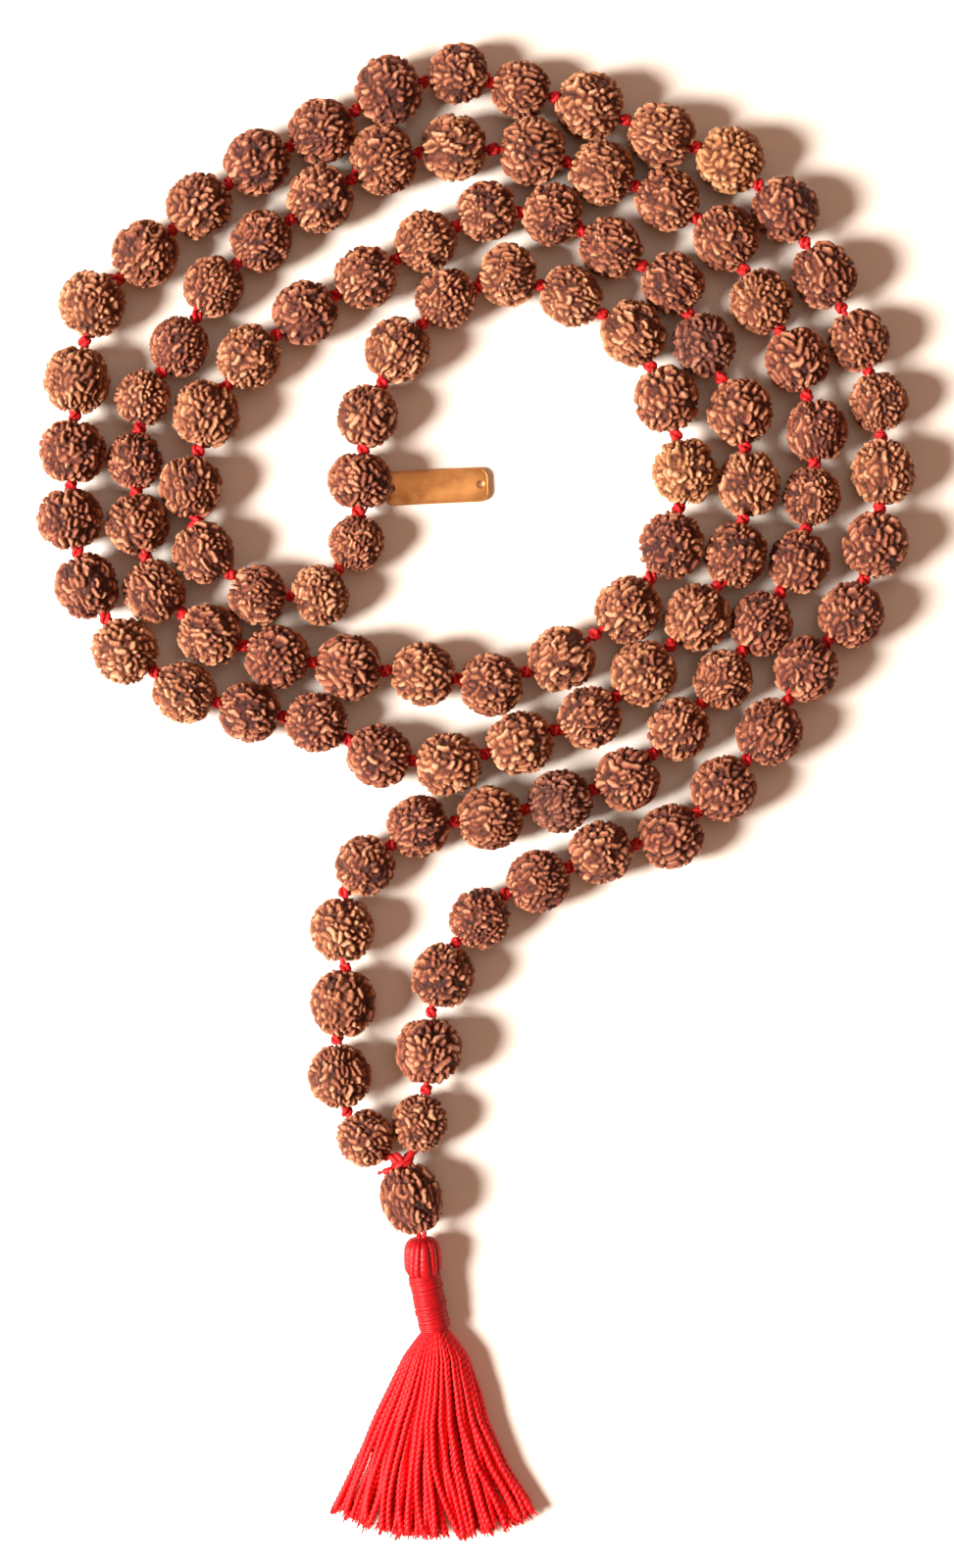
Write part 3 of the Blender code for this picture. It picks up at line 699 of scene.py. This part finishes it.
GURU3 = Vector((*GURU, GURU_R))
TOP3 = Vector((*TASSEL_TOP, 3.95))
gu = (TOP3 - GATHER3).normalized()
g_mid = GATHER3.lerp(TOP3, (GURU3 - GATHER3).dot(gu) / (TOP3 - GATHER3).length)
bead_mid = Vector((g_mid.x, g_mid.y, GURU_R + 0.03))
o = bpy.data.objects.new("seed_guru", tinted(GURU_KIND, SEED_MATS[1]))
o.matrix_world = (Matrix.Translation((bead_mid + MIDDLE) * MM) @ along(gu).to_4x4() @ Matrix.Rotation(0.6, 4, "Z")
                  @ Matrix.Diagonal((GURU_R * MM, GURU_R * MM, GURU_HALF * 0.985 * MM, 1)))
place(o, "guru_bead", "guru_bead")


# ------------------------------------------------------------------ knots and cord
def knot_path(c, u, size, spin, flip, lean):
    """An overhand knot pulled tight round the cord: two wraps that cross three times."""
    t = np.linspace(0, 2 * math.pi, 60, endpoint=False)
    rad = 0.40 + 0.18 * np.cos(3 * t)
    ang = 2 * t * flip + spin
    ax = 0.43 * np.sin(3 * t)
    m = along(u) @ Matrix.Rotation(lean, 3, "Y")
    p = np.stack([rad * np.cos(ang), rad * np.sin(ang), ax], 1) * size
    return p @ np.array(m).T + np.array(c), np.array(m @ Vector((0, 0, 1)))


rope = np.random.default_rng(31)


def tie(th, c, u, size=1.0):
    spin, lean = rope.random() * 6.28, (rope.random() - 0.5) * 0.6
    path, ax = knot_path(c, u, size * (0.95 + 0.12 * rope.random()), spin, 1 if rope.random() < 0.5 else -1, lean)
    th.tube(path, 0.33 * size, sides=10, plies=2, depth=0.16, pitch=0.9, tone=0.35 + 0.3 * rope.random(),
            closed=True, axis=ax, caps=False)


def cord(th, points, r=CORD_R):
    th.tube(curve_points(points, 0.28), r, sides=8, plies=3, depth=0.14, pitch=1.5, phase=rope.random() * 6, tone=0.4)


for a, b, body, node in RUNS:
    th = Threads()
    pts = []
    if a == 5:
        u = axis_of(5)
        pts = [CENTRE[5] - axis_of(6) * HALF[5] * 0.72, knot(5), CENTRE[4], CENTRE[4] - u * HALF[4] * 0.9, knot(4)]
        tie(th, knot(4), -u)
        tie(th, knot(5), (u + axis_of(6)).normalized())
    elif a == 104:
        u = axis_of(104)
        pts = [CENTRE[103] - u * HALF[103] * 0.97, CENTRE[103], CENTRE[103] + u * HALF[103] * 0.9, knot(104)]
        tie(th, knot(104), u)
    else:
        for i in range(a, b + 1):
            u = axis_of(i)
            if i == a:
                pts.append(CENTRE[i - 1] - u * HALF[i - 1] * 0.72)
            pts.append(CENTRE[i - 1])
            k = knot(i)
            w = (axis_of(i) + axis_of(i + 1)).normalized()
            if i < b:
                pts.append(k)
            else:
                folds = i in (46, 48, 52, 54)
                deep_in = 0.93 if folds else 0.70
                after = CENTRE[i] - axis_of(i + 1) * HALF[i] * deep_in
                pts += [CENTRE[i - 1] + u * HALF[i - 1] * 0.9, k, after]
            tie(th, k, w)
    cord(th, pts)
    th.piece(f"cord_{a:03d}_{b:03d}", CORD_RED, body, node)

START = 1.12
for row, (left, right) in enumerate(STEM):
    body = f"stem_row_{row + 1}"
    for side, b, near in (("left", left, knot(left)), ("right", right, knot(right - 1))):
        u, c, half = STEM_U[b], STEM_C[b], HALF[b - 1]
        shift = c - (near + u * (c - near).dot(u))
        s = near + u * START + shift
        out = c + u * (half - 0.15)
        th = Threads()
        if b in (1, 108):
            far = GATHER3 + (Vector((-1.35, 0.55, 0.0)) if b == 1 else Vector((1.35, 1.10, 0.0)))
            cord(th, [s, c, out, out.lerp(far, 0.5), far, far.lerp(GATHER3, 0.6)])
        else:
            far = knot(b - 1) if side == "left" else knot(b)
            cord(th, [s, c, out, far])
            tie(th, far, u, 0.93)
        th.piece(f"stem_threads_{row + 1}_{side}", CORD_RED, body, f"stem_cord_{row + 1}_{side}")

# the gathering knot: both strands loop once round each other over the guru bead
G = GATHER3
th = Threads()
th.tube(curve_points([G + Vector(p) for p in (
    (-1.9, 0.75, -0.1), (-1.25, 0.55, 0.55), (-0.45, -0.10, 0.85), (0.25, -0.60, 0.35), (-0.15, -0.75, -0.45),
    (-0.8, -0.35, -0.55), (-0.95, 0.35, 0.05), (-0.55, 0.75, 0.60), (0.0, 0.35, 1.0), (0.35, -0.25, 0.7))], 0.16),
    0.43, sides=10, plies=3, depth=0.16, pitch=1.3, tone=0.3)
th.tube(curve_points([G + Vector(p) for p in (
    (1.85, 1.35, -0.1), (1.45, 0.95, 0.55), (0.75, 0.30, 0.85), (-0.05, -0.35, 0.95), (-0.75, -0.85, 0.6),
    (-1.55, -1.15, 0.75), (-2.15, -1.35, 0.55))], 0.16),
    0.43, sides=10, plies=3, depth=0.16, pitch=1.3, tone=0.45)
th.tube(curve_points([G + Vector(p) for p in (
    (1.35, 0.45, -0.1), (1.15, 0.05, 0.55), (0.55, -0.45, 0.75), (-0.15, -0.95, 0.45), (-0.9, -1.05, 0.1),
    (-0.7, -0.3, -0.6), (0.3, 0.1, -0.7), (1.0, 0.35, -0.45))], 0.16),
    0.40, sides=10, plies=3, depth=0.16, pitch=1.3, tone=0.35)
for k in range(9):           # the cut end of the strand, frayed
    a = G + Vector((-2.15, -1.35, 0.55))
    d = Vector((-0.55 - 0.3 * rope.random(), -0.15 + 0.5 * (rope.random() - 0.5), 0.35 * (rope.random() - 0.4)))
    th.tube(curve_points([a + Vector((0.2, 0.1, 0)), a + d * 0.5, a + d], 0.12), 0.07, sides=5, plies=2, depth=0.0, tone=rope.random())
th.piece("gathering_knot_threads", CORD_RED, "stem_row_4", "gathering_knot")

lift = Vector((0, 0, bead_mid.z - g_mid.z))
th = Threads()
cord(th, [GATHER3 + gu * 1.45 + lift * 0.5, bead_mid, TOP3 - gu * 1.25 + lift * 0.5], 0.52)
th.piece("guru_cord_threads", CORD_RED, "guru_cord", "guru_cord")

# ------------------------------------------------------------------ the tassel
th = Threads()
for dx, tone in ((-0.32, 0.4), (0.32, 0.6)):
    th.tube(curve_points([TOP3 + Vector(p) for p in (
        (dx * 0.5, 0.75, 0.05), (dx, 0.35, 0.25), (dx * 1.15, -0.1, 0.2), (dx * 0.7, -0.6, -0.05))], 0.12),
        0.34, sides=10, plies=3, depth=0.16, pitch=1.2, tone=tone)
th.piece("tassel_loop_threads", CORD_RED, "tassel_loop", "tassel_loop")

NECK0, NECK1 = Vector((-6.75, -61.7, 2.95)), Vector((-5.2, -69.3, 2.12))
LIFT3 = TOP3 + Vector((0.0, -0.3, -0.05))
hd = (NECK0 - LIFT3).normalized()
nd = (NECK1 - NECK0).normalized()
h0 = LIFT3 + hd * 0.34
head_len = (NECK0 - h0).length
yarn = np.random.default_rng(57)


def head_and_core():
    """Folded yarn over the top of the tassel, drawn in under the neck wrap, as one closed skin:
    each yarn stands as a half-round rib that runs down over the dome."""
    stations = [(0.0, 0.35), (0.04, 0.95), (0.14, 1.45), (0.40, 1.88), (0.80, 2.14), (1.4, 2.30), (head_len * 0.50, 2.38),
                (head_len * 0.75, 2.40), (head_len - 0.55, 2.34), (head_len - 0.18, 2.22), (head_len - 0.02, 2.02),
                (head_len + 0.15, 1.7), (head_len + 0.6, CORE), (head_len + 3.0, CORE), (head_len + 6.3, CORE), (head_len + 6.9, 0.9), (head_len + 7.1, 0.3)]
    s = np.array([q[0] for q in stations])
    r = np.array([q[1] for q in stations])
    at = np.unique(np.concatenate([np.linspace(0, 1.2, 22), np.linspace(1.2, head_len + 0.3, 40), np.linspace(head_len + 0.3, s[-1], 14)]))
    rad = np.interp(at, s, r)
    rad = np.convolve(np.pad(rad, 2, mode="edge"), np.ones(5) / 5, "valid") * 0.6 + rad * 0.4
    ribs = 14
    edges = np.sort((np.arange(ribs) + 0.75 * (yarn.random(ribs) - 0.5)) * 2 * math.pi / ribs)
    lean = 0.10 * (yarn.random(ribs) - 0.5)
    cols = 252
    phi = np.arange(cols) * 2 * math.pi / cols
    axis_pts = []
    for q in at:
        p = h0 + hd * min(q, head_len) + nd * max(0.0, q - head_len)
        axis_pts.append(p)
    m0, m1 = np.array(along(hd)), np.array(along(nd))
    verts, groove, tone = [], [], []
    shade = yarn.random(ribs)
    for q, rr, p in zip(at, rad, axis_pts):
        e = np.sort((edges + lean * q) % (2 * math.pi))
        idx = np.searchsorted(e, phi, side="right") - 1
        lo = e[idx % ribs]
        hi = e[(idx + 1) % ribs]
        w = (hi - lo) % (2 * math.pi)
        x = ((phi - lo) % (2 * math.pi)) / np.maximum(w, 1e-6)
        rib = np.sqrt(np.clip(1 - (2 * x - 1) ** 2, 0, 1))
        height = np.clip(rr * w * 0.36, 0, 0.34)
        radial = rr - height + height * rib + 0.015 * np.sin(9.0 * q + idx * 2.1)
        m = m0 if q <= head_len else m1
        ring = np.stack([radial * np.cos(phi), radial * np.sin(phi), np.zeros(cols)], 1) @ m.T + np.array(p)
        verts.append(ring)
        # the rib profile goes into the groove attribute: the thread material paints shade between the ribs and lightens
        # their crests
        groove.append(np.clip(rib, 0.0, 1.0))
        tone.append(shade[idx % ribs])
    rows = len(at)
    quads = [(a * cols + c, a * cols + (c + 1) % cols, (a + 1) * cols + (c + 1) % cols, (a + 1) * cols + c)
             for a in range(rows - 1) for c in range(cols)]
    v = np.concatenate(verts)
    g, t = np.concatenate(groove), np.concatenate(tone)
    n0 = len(v)
    v = np.concatenate([v, [verts[0].mean(0)], [verts[-1].mean(0)]])
    g, t = np.concatenate([g, [0.4, 0.4]]), np.concatenate([t, [0.5, 0.5]])
    tris = [(n0, (c + 1) % cols, c) for c in range(cols)]
    last = (rows - 1) * cols
    tris += [(n0 + 1, last + c, last + (c + 1) % cols) for c in range(cols)]
    return v, np.array(quads), np.array(tris), g, t


CORE = 1.28
hv, hq, ht, hg, htone = head_and_core()
th = Threads()
th.sheet_of(hv, hq, htone, hg)
th.t.append(ht)
th.piece("tassel_head_yarn", WRAP_RED, "tassel", "tassel_head")

# the neck: one fine thread wound down it, turn against turn, over an under-layer
wrap_len = (NECK1 - NECK0).length
frame_n = np.array(along(nd))
th = Threads()
turns, per = 27, 44
tt = np.arange(turns * per + 1) / per
length_at = 0.05 + (wrap_len - 0.40) * tt / turns + 0.035 * np.sin(tt * 2.7) + 0.02 * np.sin(tt * 0.71)
bulge = 1.90 - 0.05 * (tt / turns) + 0.035 * np.sin(tt * 0.55) + 0.02 * np.sin(tt * 1.9)
bulge = bulge - 0.12 * np.exp(-(tt / 0.9) ** 2) - 0.10 * np.exp(-((turns - tt) / 0.8) ** 2)
local = np.stack([bulge * np.cos(tt * 2 * math.pi), bulge * np.sin(tt * 2 * math.pi), length_at], 1)
th.tube(local @ frame_n.T + np.array(NECK0), 0.178, sides=8, plies=2, depth=0.12, pitch=0.7, tone=0.5)
for lean, start, tone in ((0.9, 1.3, 0.9), (-1.1, 4.4, 0.2)):     # two turns that cross the rest
    t2 = np.linspace(0, 1.05, 48)
    loc = np.stack([2.0 * np.cos(start + t2 * 6.28), 2.0 * np.sin(start + t2 * 6.28),
                    start + lean * np.sin(start + t2 * 6.28) * 0.35 + t2 * 0.35], 1)
    th.tube(loc @ frame_n.T + np.array(NECK0), 0.15, sides=8, plies=2, depth=0.12, pitch=0.7, tone=tone)
under = []
rows_u, cols_u = 14, 40
for a in range(rows_u):
    q = 0.25 + (wrap_len - 1.25) * a / (rows_u - 1)
    f = np.arange(cols_u) * 2 * math.pi / cols_u
    rr = 1.80
    under.append(np.stack([rr * np.cos(f), rr * np.sin(f), np.full(cols_u, q)], 1))
inner = [np.stack([1.42 * np.cos(f), 1.42 * np.sin(f), np.full(cols_u, q)], 1)
         for q in (0.25 + (wrap_len - 1.25), 0.25)]
ring = np.concatenate(under + inner) @ frame_n.T + np.array(NECK0)
rt = rows_u + 2
# its low tone and groove values paint it dark: painted shade under the turns
th.sheet_of(ring, [(a * cols_u + c, a * cols_u + (c + 1) % cols_u, ((a + 1) % rt) * cols_u + (c + 1) % cols_u,
                    ((a + 1) % rt) * cols_u + c) for a in range(rt) for c in range(cols_u)], 0.2, np.full(len(ring), 0.1))
th.piece("tassel_neck_winding", WRAP_RED, "tassel", "tassel_neck_wrap")

# the skirt: two-ply yarns that leave the neck together and fan out to a cut hem
SECTIONS = np.array([   # y, centre x, centre z, half width, half height
    (-69.15, -5.20, 2.12, 1.38, 1.38), (-69.5, -5.17, 2.13, 1.75, 1.60), (-70.1, -5.15, 2.16, 2.25, 1.75), (-71.0, -5.15, 2.25, 2.95, 1.95), (-72.5, -5.15, 2.35, 4.0, 2.2),
    (-77.0, -5.5, 2.35, 5.75, 2.3), (-80.8, -5.9, 2.2, 7.15, 2.1), (-86.6, -5.9, 1.95, 9.6, 1.85),
    (-91.6, -5.5, 1.75, 12.4, 1.65), (-93.6, -5.3, 1.6, 13.6, 1.5), (-96.0, -5.1, 1.4, 15.0, 1.35)])


def section(y):
    k = SECTIONS[::-1]
    return [np.interp(y, k[:, 0], k[:, j]) for j in (1, 2, 3, 4)]


YARNS = []
for count, ring_r, loose in ((50, 0.98, 0.35), (34, 0.74, 0.6), (22, 0.46, 0.7), (9, 0.18, 0.7)):
    for k in range(count):
        f = 2 * math.pi * (k + loose * (yarn.random() - 0.5)) / count
        YARNS.append((math.cos(f), math.sin(f), ring_r))
order = sorted(range(len(YARNS)), key=lambda k: YARNS[k][0] * YARNS[k][2])
SKIRT_PARTS = 8
for part_no in range(SKIRT_PARTS):
    th = Threads()
    lo, hi = part_no * len(order) // SKIRT_PARTS, (part_no + 1) * len(order) // SKIRT_PARTS
    for k in order[lo:hi]:
        cu, cw, ring_r = YARNS[k]
        u0, w0 = cu * ring_r, cw * ring_r
        # a yarn of the ellipse's top or bottom is spread sideways as the bundle flattens
        drift = 0.20 * (yarn.random() - 0.5)
        sway, ph = 0.03 + 0.06 * yarn.random(), yarn.random() * 6.28
        hem = -95.25 + 3.7 * abs(u0) ** 2.2 + 0.9 * (yarn.random() - 0.5) ** 1
        ys = np.linspace(-69.15, hem, 30)
        pts = []
        for y in ys:
            f = (y - ys[0]) / (hem - ys[0])
            cx, cz, w, h = section(y)
            uu = np.clip(u0 + drift * f + sway * math.sin(ph + 5.5 * f) * f, -1.0, 1.0)
            ww = w0 * (1 - 0.25 * f)
            x = cx + uu * w
            z = cz + ww * h * math.sqrt(max(0.05, 1 - 0.55 * min(1, abs(uu)) ** 2))
            rad_here = 0.27 + 0.17 * smooth(0.0, 0.45, f)
            pts.append((x, y, max(z, rad_here + 0.03)))
        path = curve_points(pts, 0.155)
        f = np.linspace(0, 1, len(path))
        rad = 0.24 + 0.18 * smooth(0.0, 0.5, f) + 0.03 * smooth(0.9, 1.0, f)
        tone = yarn.random()
        th.tube(path, rad * (0.92 + 0.16 * yarn.random()), sides=10, plies=2, depth=0.38, pitch=1.55,
                phase=yarn.random() * 6.28, tone=tone)
        tip, d = path[-1], path[-1] - path[-6]
        d /= np.linalg.norm(d)
        for q in range(5):                   # loose fibres at the cut end
            j = (yarn.random(3) - 0.5) * np.array((0.9, 0.4, 0.55))
            start = tip - d * 0.5 + (yarn.random(3) - 0.5) * 0.35
            stop = tip + d * (0.15 + 0.65 * yarn.random()) + j
            start[2], stop[2] = max(start[2], 0.12), max(stop[2], 0.10)
            th.tube(curve_points([start, (start + stop) / 2 + j * 0.1, stop], 0.2), 0.085, sides=5, plies=2, depth=0.0,
                    tone=min(1, tone + 0.3 * yarn.random()))
    th.piece(f"tassel_skirt_yarns_{part_no + 1}", YARN_RED, "tassel_skirt", "tassel_skirt")

# ------------------------------------------------------------------ the tag and its thread
TAG_LEFT, TAG_RIGHT = Vector((-12.0, 38.75)), Vector((1.70, 39.35))
TAG_ANGLE = math.atan2(TAG_RIGHT.y - TAG_LEFT.y, TAG_RIGHT.x - TAG_LEFT.x)
TAG_W, TAG_T, TAG_CORNER, TAG_HOLE_R = 4.4, 0.7, 1.3, 0.45


def tag_mesh():
    """A thin stamped plate with rounded corners, rolled bright edges, a shallow border line
    and a hole with a raised lip at each end."""
    import bmesh
    half_l, half_w = (TAG_RIGHT - TAG_LEFT).length / 2, TAG_W / 2
    bm = bmesh.new()

    def outline(inset, z):
        pts = []
        r = TAG_CORNER - inset
        for cx, cy, a0 in ((1, 1, 0), (-1, 1, 90), (-1, -1, 180), (1, -1, 270)):
            for k in range(11):
                a = math.radians(a0 + 9 * k)
                pts.append((cx * (half_l - TAG_CORNER) + r * math.cos(a), cy * (half_w - TAG_CORNER) + r * math.sin(a)))
        return [bm.verts.new((x * MM, y * MM, z * MM)) for x, y in pts]

    def circle(cx, r, z):
        return [bm.verts.new(((cx + r * math.cos(a)) * MM, r * math.sin(a) * MM, z * MM))
                for a in (2 * math.pi * k / 28 for k in range(28))]

    def join(a, b):
        n = len(a)
        for k in range(n):
            bm.faces.new((a[k], a[(k + 1) % n], b[(k + 1) % n], b[k]))

    t = TAG_T / 2
    # outside: bottom edge, wall, rolled top edge, border groove
    rings = [outline(0.12, -t), outline(0.03, -t + 0.03), outline(0.0, -t + 0.10), outline(0.0, t - 0.16), outline(0.03, t - 0.07),
             outline(0.09, t - 0.015), outline(0.17, t), outline(0.26, t), outline(0.31, t - 0.03), outline(0.37, t - 0.03),
             outline(0.42, t - 0.012)]
    for a, b in zip(rings, rings[1:]):
        join(a, b)
    top, low = [rings[-1]], [rings[0]]
    for cx in (-half_l + 1.0, half_l - 1.15):
        hole = [circle(cx, TAG_HOLE_R + 0.30, t - 0.012), circle(cx, TAG_HOLE_R + 0.22, t), circle(cx, TAG_HOLE_R + 0.10, t),
                circle(cx, TAG_HOLE_R + 0.03, t - 0.03), circle(cx, TAG_HOLE_R, t - 0.10), circle(cx, TAG_HOLE_R, -t + 0.06),
                circle(cx, TAG_HOLE_R + 0.05, -t)]
        for a, b in zip(hole, hole[1:]):
            join(b, a)
        top.append(hole[0])
        low.append(hole[-1])
    for loops in (top, low):
        edges = []
        for ring in loops:
            for a, b in zip(ring, ring[1:] + ring[:1]):
                edges.append(bm.edges.get((a, b)) or bm.edges.new((a, b)))
        bmesh.ops.triangle_fill(bm, use_beauty=True, use_dissolve=False, edges=edges)
    bmesh.ops.recalc_face_normals(bm, faces=bm.faces)
    # a hand-flattened plate isn't dead flat, but this face is left flat: the mesh is only smooth shaded, with edges
    # past 38 degrees kept sharp
    me = bpy.data.meshes.new("tag_plate")
    bm.to_mesh(me)
    bm.free()
    me.shade_smooth()
    me.set_sharp_from_angle(angle=math.radians(38))
    return me


me = tag_mesh()
me.materials.append(GOLD)
mid = (TAG_LEFT + TAG_RIGHT) / 2
o = bpy.data.objects.new("tag_plate", me)
o.matrix_world = (Matrix.Translation((Vector((mid.x, mid.y, TAG_T / 2)) + MIDDLE) * MM)
                  @ Matrix.Rotation(TAG_ANGLE, 4, "Z"))
place(o, "tag", "tag")

eye = Vector((TAG_LEFT.x + 1.0, TAG_LEFT.y + 0.08, 0.63))
at = knot(48)
th = Threads()
th.tube(curve_points([at + Vector(p) for p in ((0.75, -0.05, -0.55), (0.75, 0.1, -1.5), (0.95, 0.7, -2.65), (1.4, 1.4, -3.2), (2.1, 2.1, -3.3), (2.9, 2.7, -2.9))]
                     + [Vector((eye.x - 0.1, eye.y, 1.45)), Vector((eye.x + 0.05, eye.y, 1.05))], 0.15),
        0.19, sides=8, plies=2, depth=0.2, pitch=0.8, tone=0.5)
th.piece("tag_thread_strand", CORD_RED, "tag_thread", "tag_thread")

# ------------------------------------------------------------------ floor, light and camera
floor_mesh = bpy.data.meshes.new("floor")
floor_mesh.from_pydata([(-1.5, -1.5, 0), (1.5, -1.5, 0), (1.5, 1.5, 0), (-1.5, 1.5, 0)], [], [(0, 1, 2, 3)])
floor = bpy.data.objects.new("floor", floor_mesh)
floor.location = (0, 0, -0.00003)
bpy.context.scene.collection.objects.link(floor)
fm = Nodes("pale_floor")
fco = fm.coords("Object")
fm.link(fm.ramp(fm.noise(fco, 6.0, 3.0), [(0.3, srgb(238, 231, 224)), (0.7, srgb(244, 239, 233))]), fm.b.inputs["Base Color"])
fm.link(fm.map(fm.noise(fco, 400.0, 2.0), 0.3, 0.7, 0.72, 0.86), fm.b.inputs["Roughness"])
fm.b.inputs["Specular IOR Level"].default_value = 0.2
floor_mesh.materials.append(fm.m)


def lamp(name, at, aim, size, watts, colour):
    d = bpy.data.lights.new(name, "AREA")
    d.shape = "DISK"
    d.size = size
    d.energy = watts
    d.color = colour
    o = bpy.data.objects.new(name, d)
    o.location = at
    o.rotation_euler = (Vector(aim) - Vector(at)).to_track_quat("-Z", "Y").to_euler()
    bpy.context.scene.collection.objects.link(o)
    return o


lamp("key", (-0.80, -0.20, 0.69), (0.0, 0.0, 0.0), 0.42, 36.5, (1.0, 0.93, 0.85))
lamp("soft_top", (0.15, 0.25, 1.10), (0.0, 0.0, 0.0), 0.90, 1.6, (1.0, 0.86, 0.74))
world = bpy.data.worlds.new("studio")
world.use_nodes = True
wt = world.node_tree
fill = wt.nodes["Background"]                 # the warm light that a room gives back
fill.inputs[0].default_value = (1.0, 0.46, 0.245, 1.0)
fill.inputs[1].default_value = 0.28
pale = wt.nodes.new("ShaderNodeBackground")   # what is seen behind the floor's edge
pale.inputs[0].default_value = (0.93, 0.90, 0.87, 1.0)
rays = wt.nodes.new("ShaderNodeLightPath")
both = wt.nodes.new("ShaderNodeMixShader")
wt.links.new(rays.outputs["Is Camera Ray"], both.inputs[0])
wt.links.new(fill.outputs[0], both.inputs[1])
wt.links.new(pale.outputs[0], both.inputs[2])
wt.links.new(both.outputs[0], wt.nodes["World Output"].inputs[0])
bpy.context.scene.world = world

cam = bpy.data.cameras.new("camera")
cam.sensor_fit = "VERTICAL"
cam.sensor_height = 36.0
cam.lens = 75.6
cam.clip_start, cam.clip_end = 0.01, 10.0
camera = bpy.data.objects.new("camera", cam)
camera.location = (0.000095, 0.00061, 0.424)
bpy.context.scene.collection.objects.link(camera)
bpy.context.scene.camera = camera
bpy.context.scene.view_settings.view_transform = "Standard"
bpy.context.scene.view_settings.look = "None"
bpy.context.scene.view_settings.exposure = 0.0

bpy.context.view_layer.update()
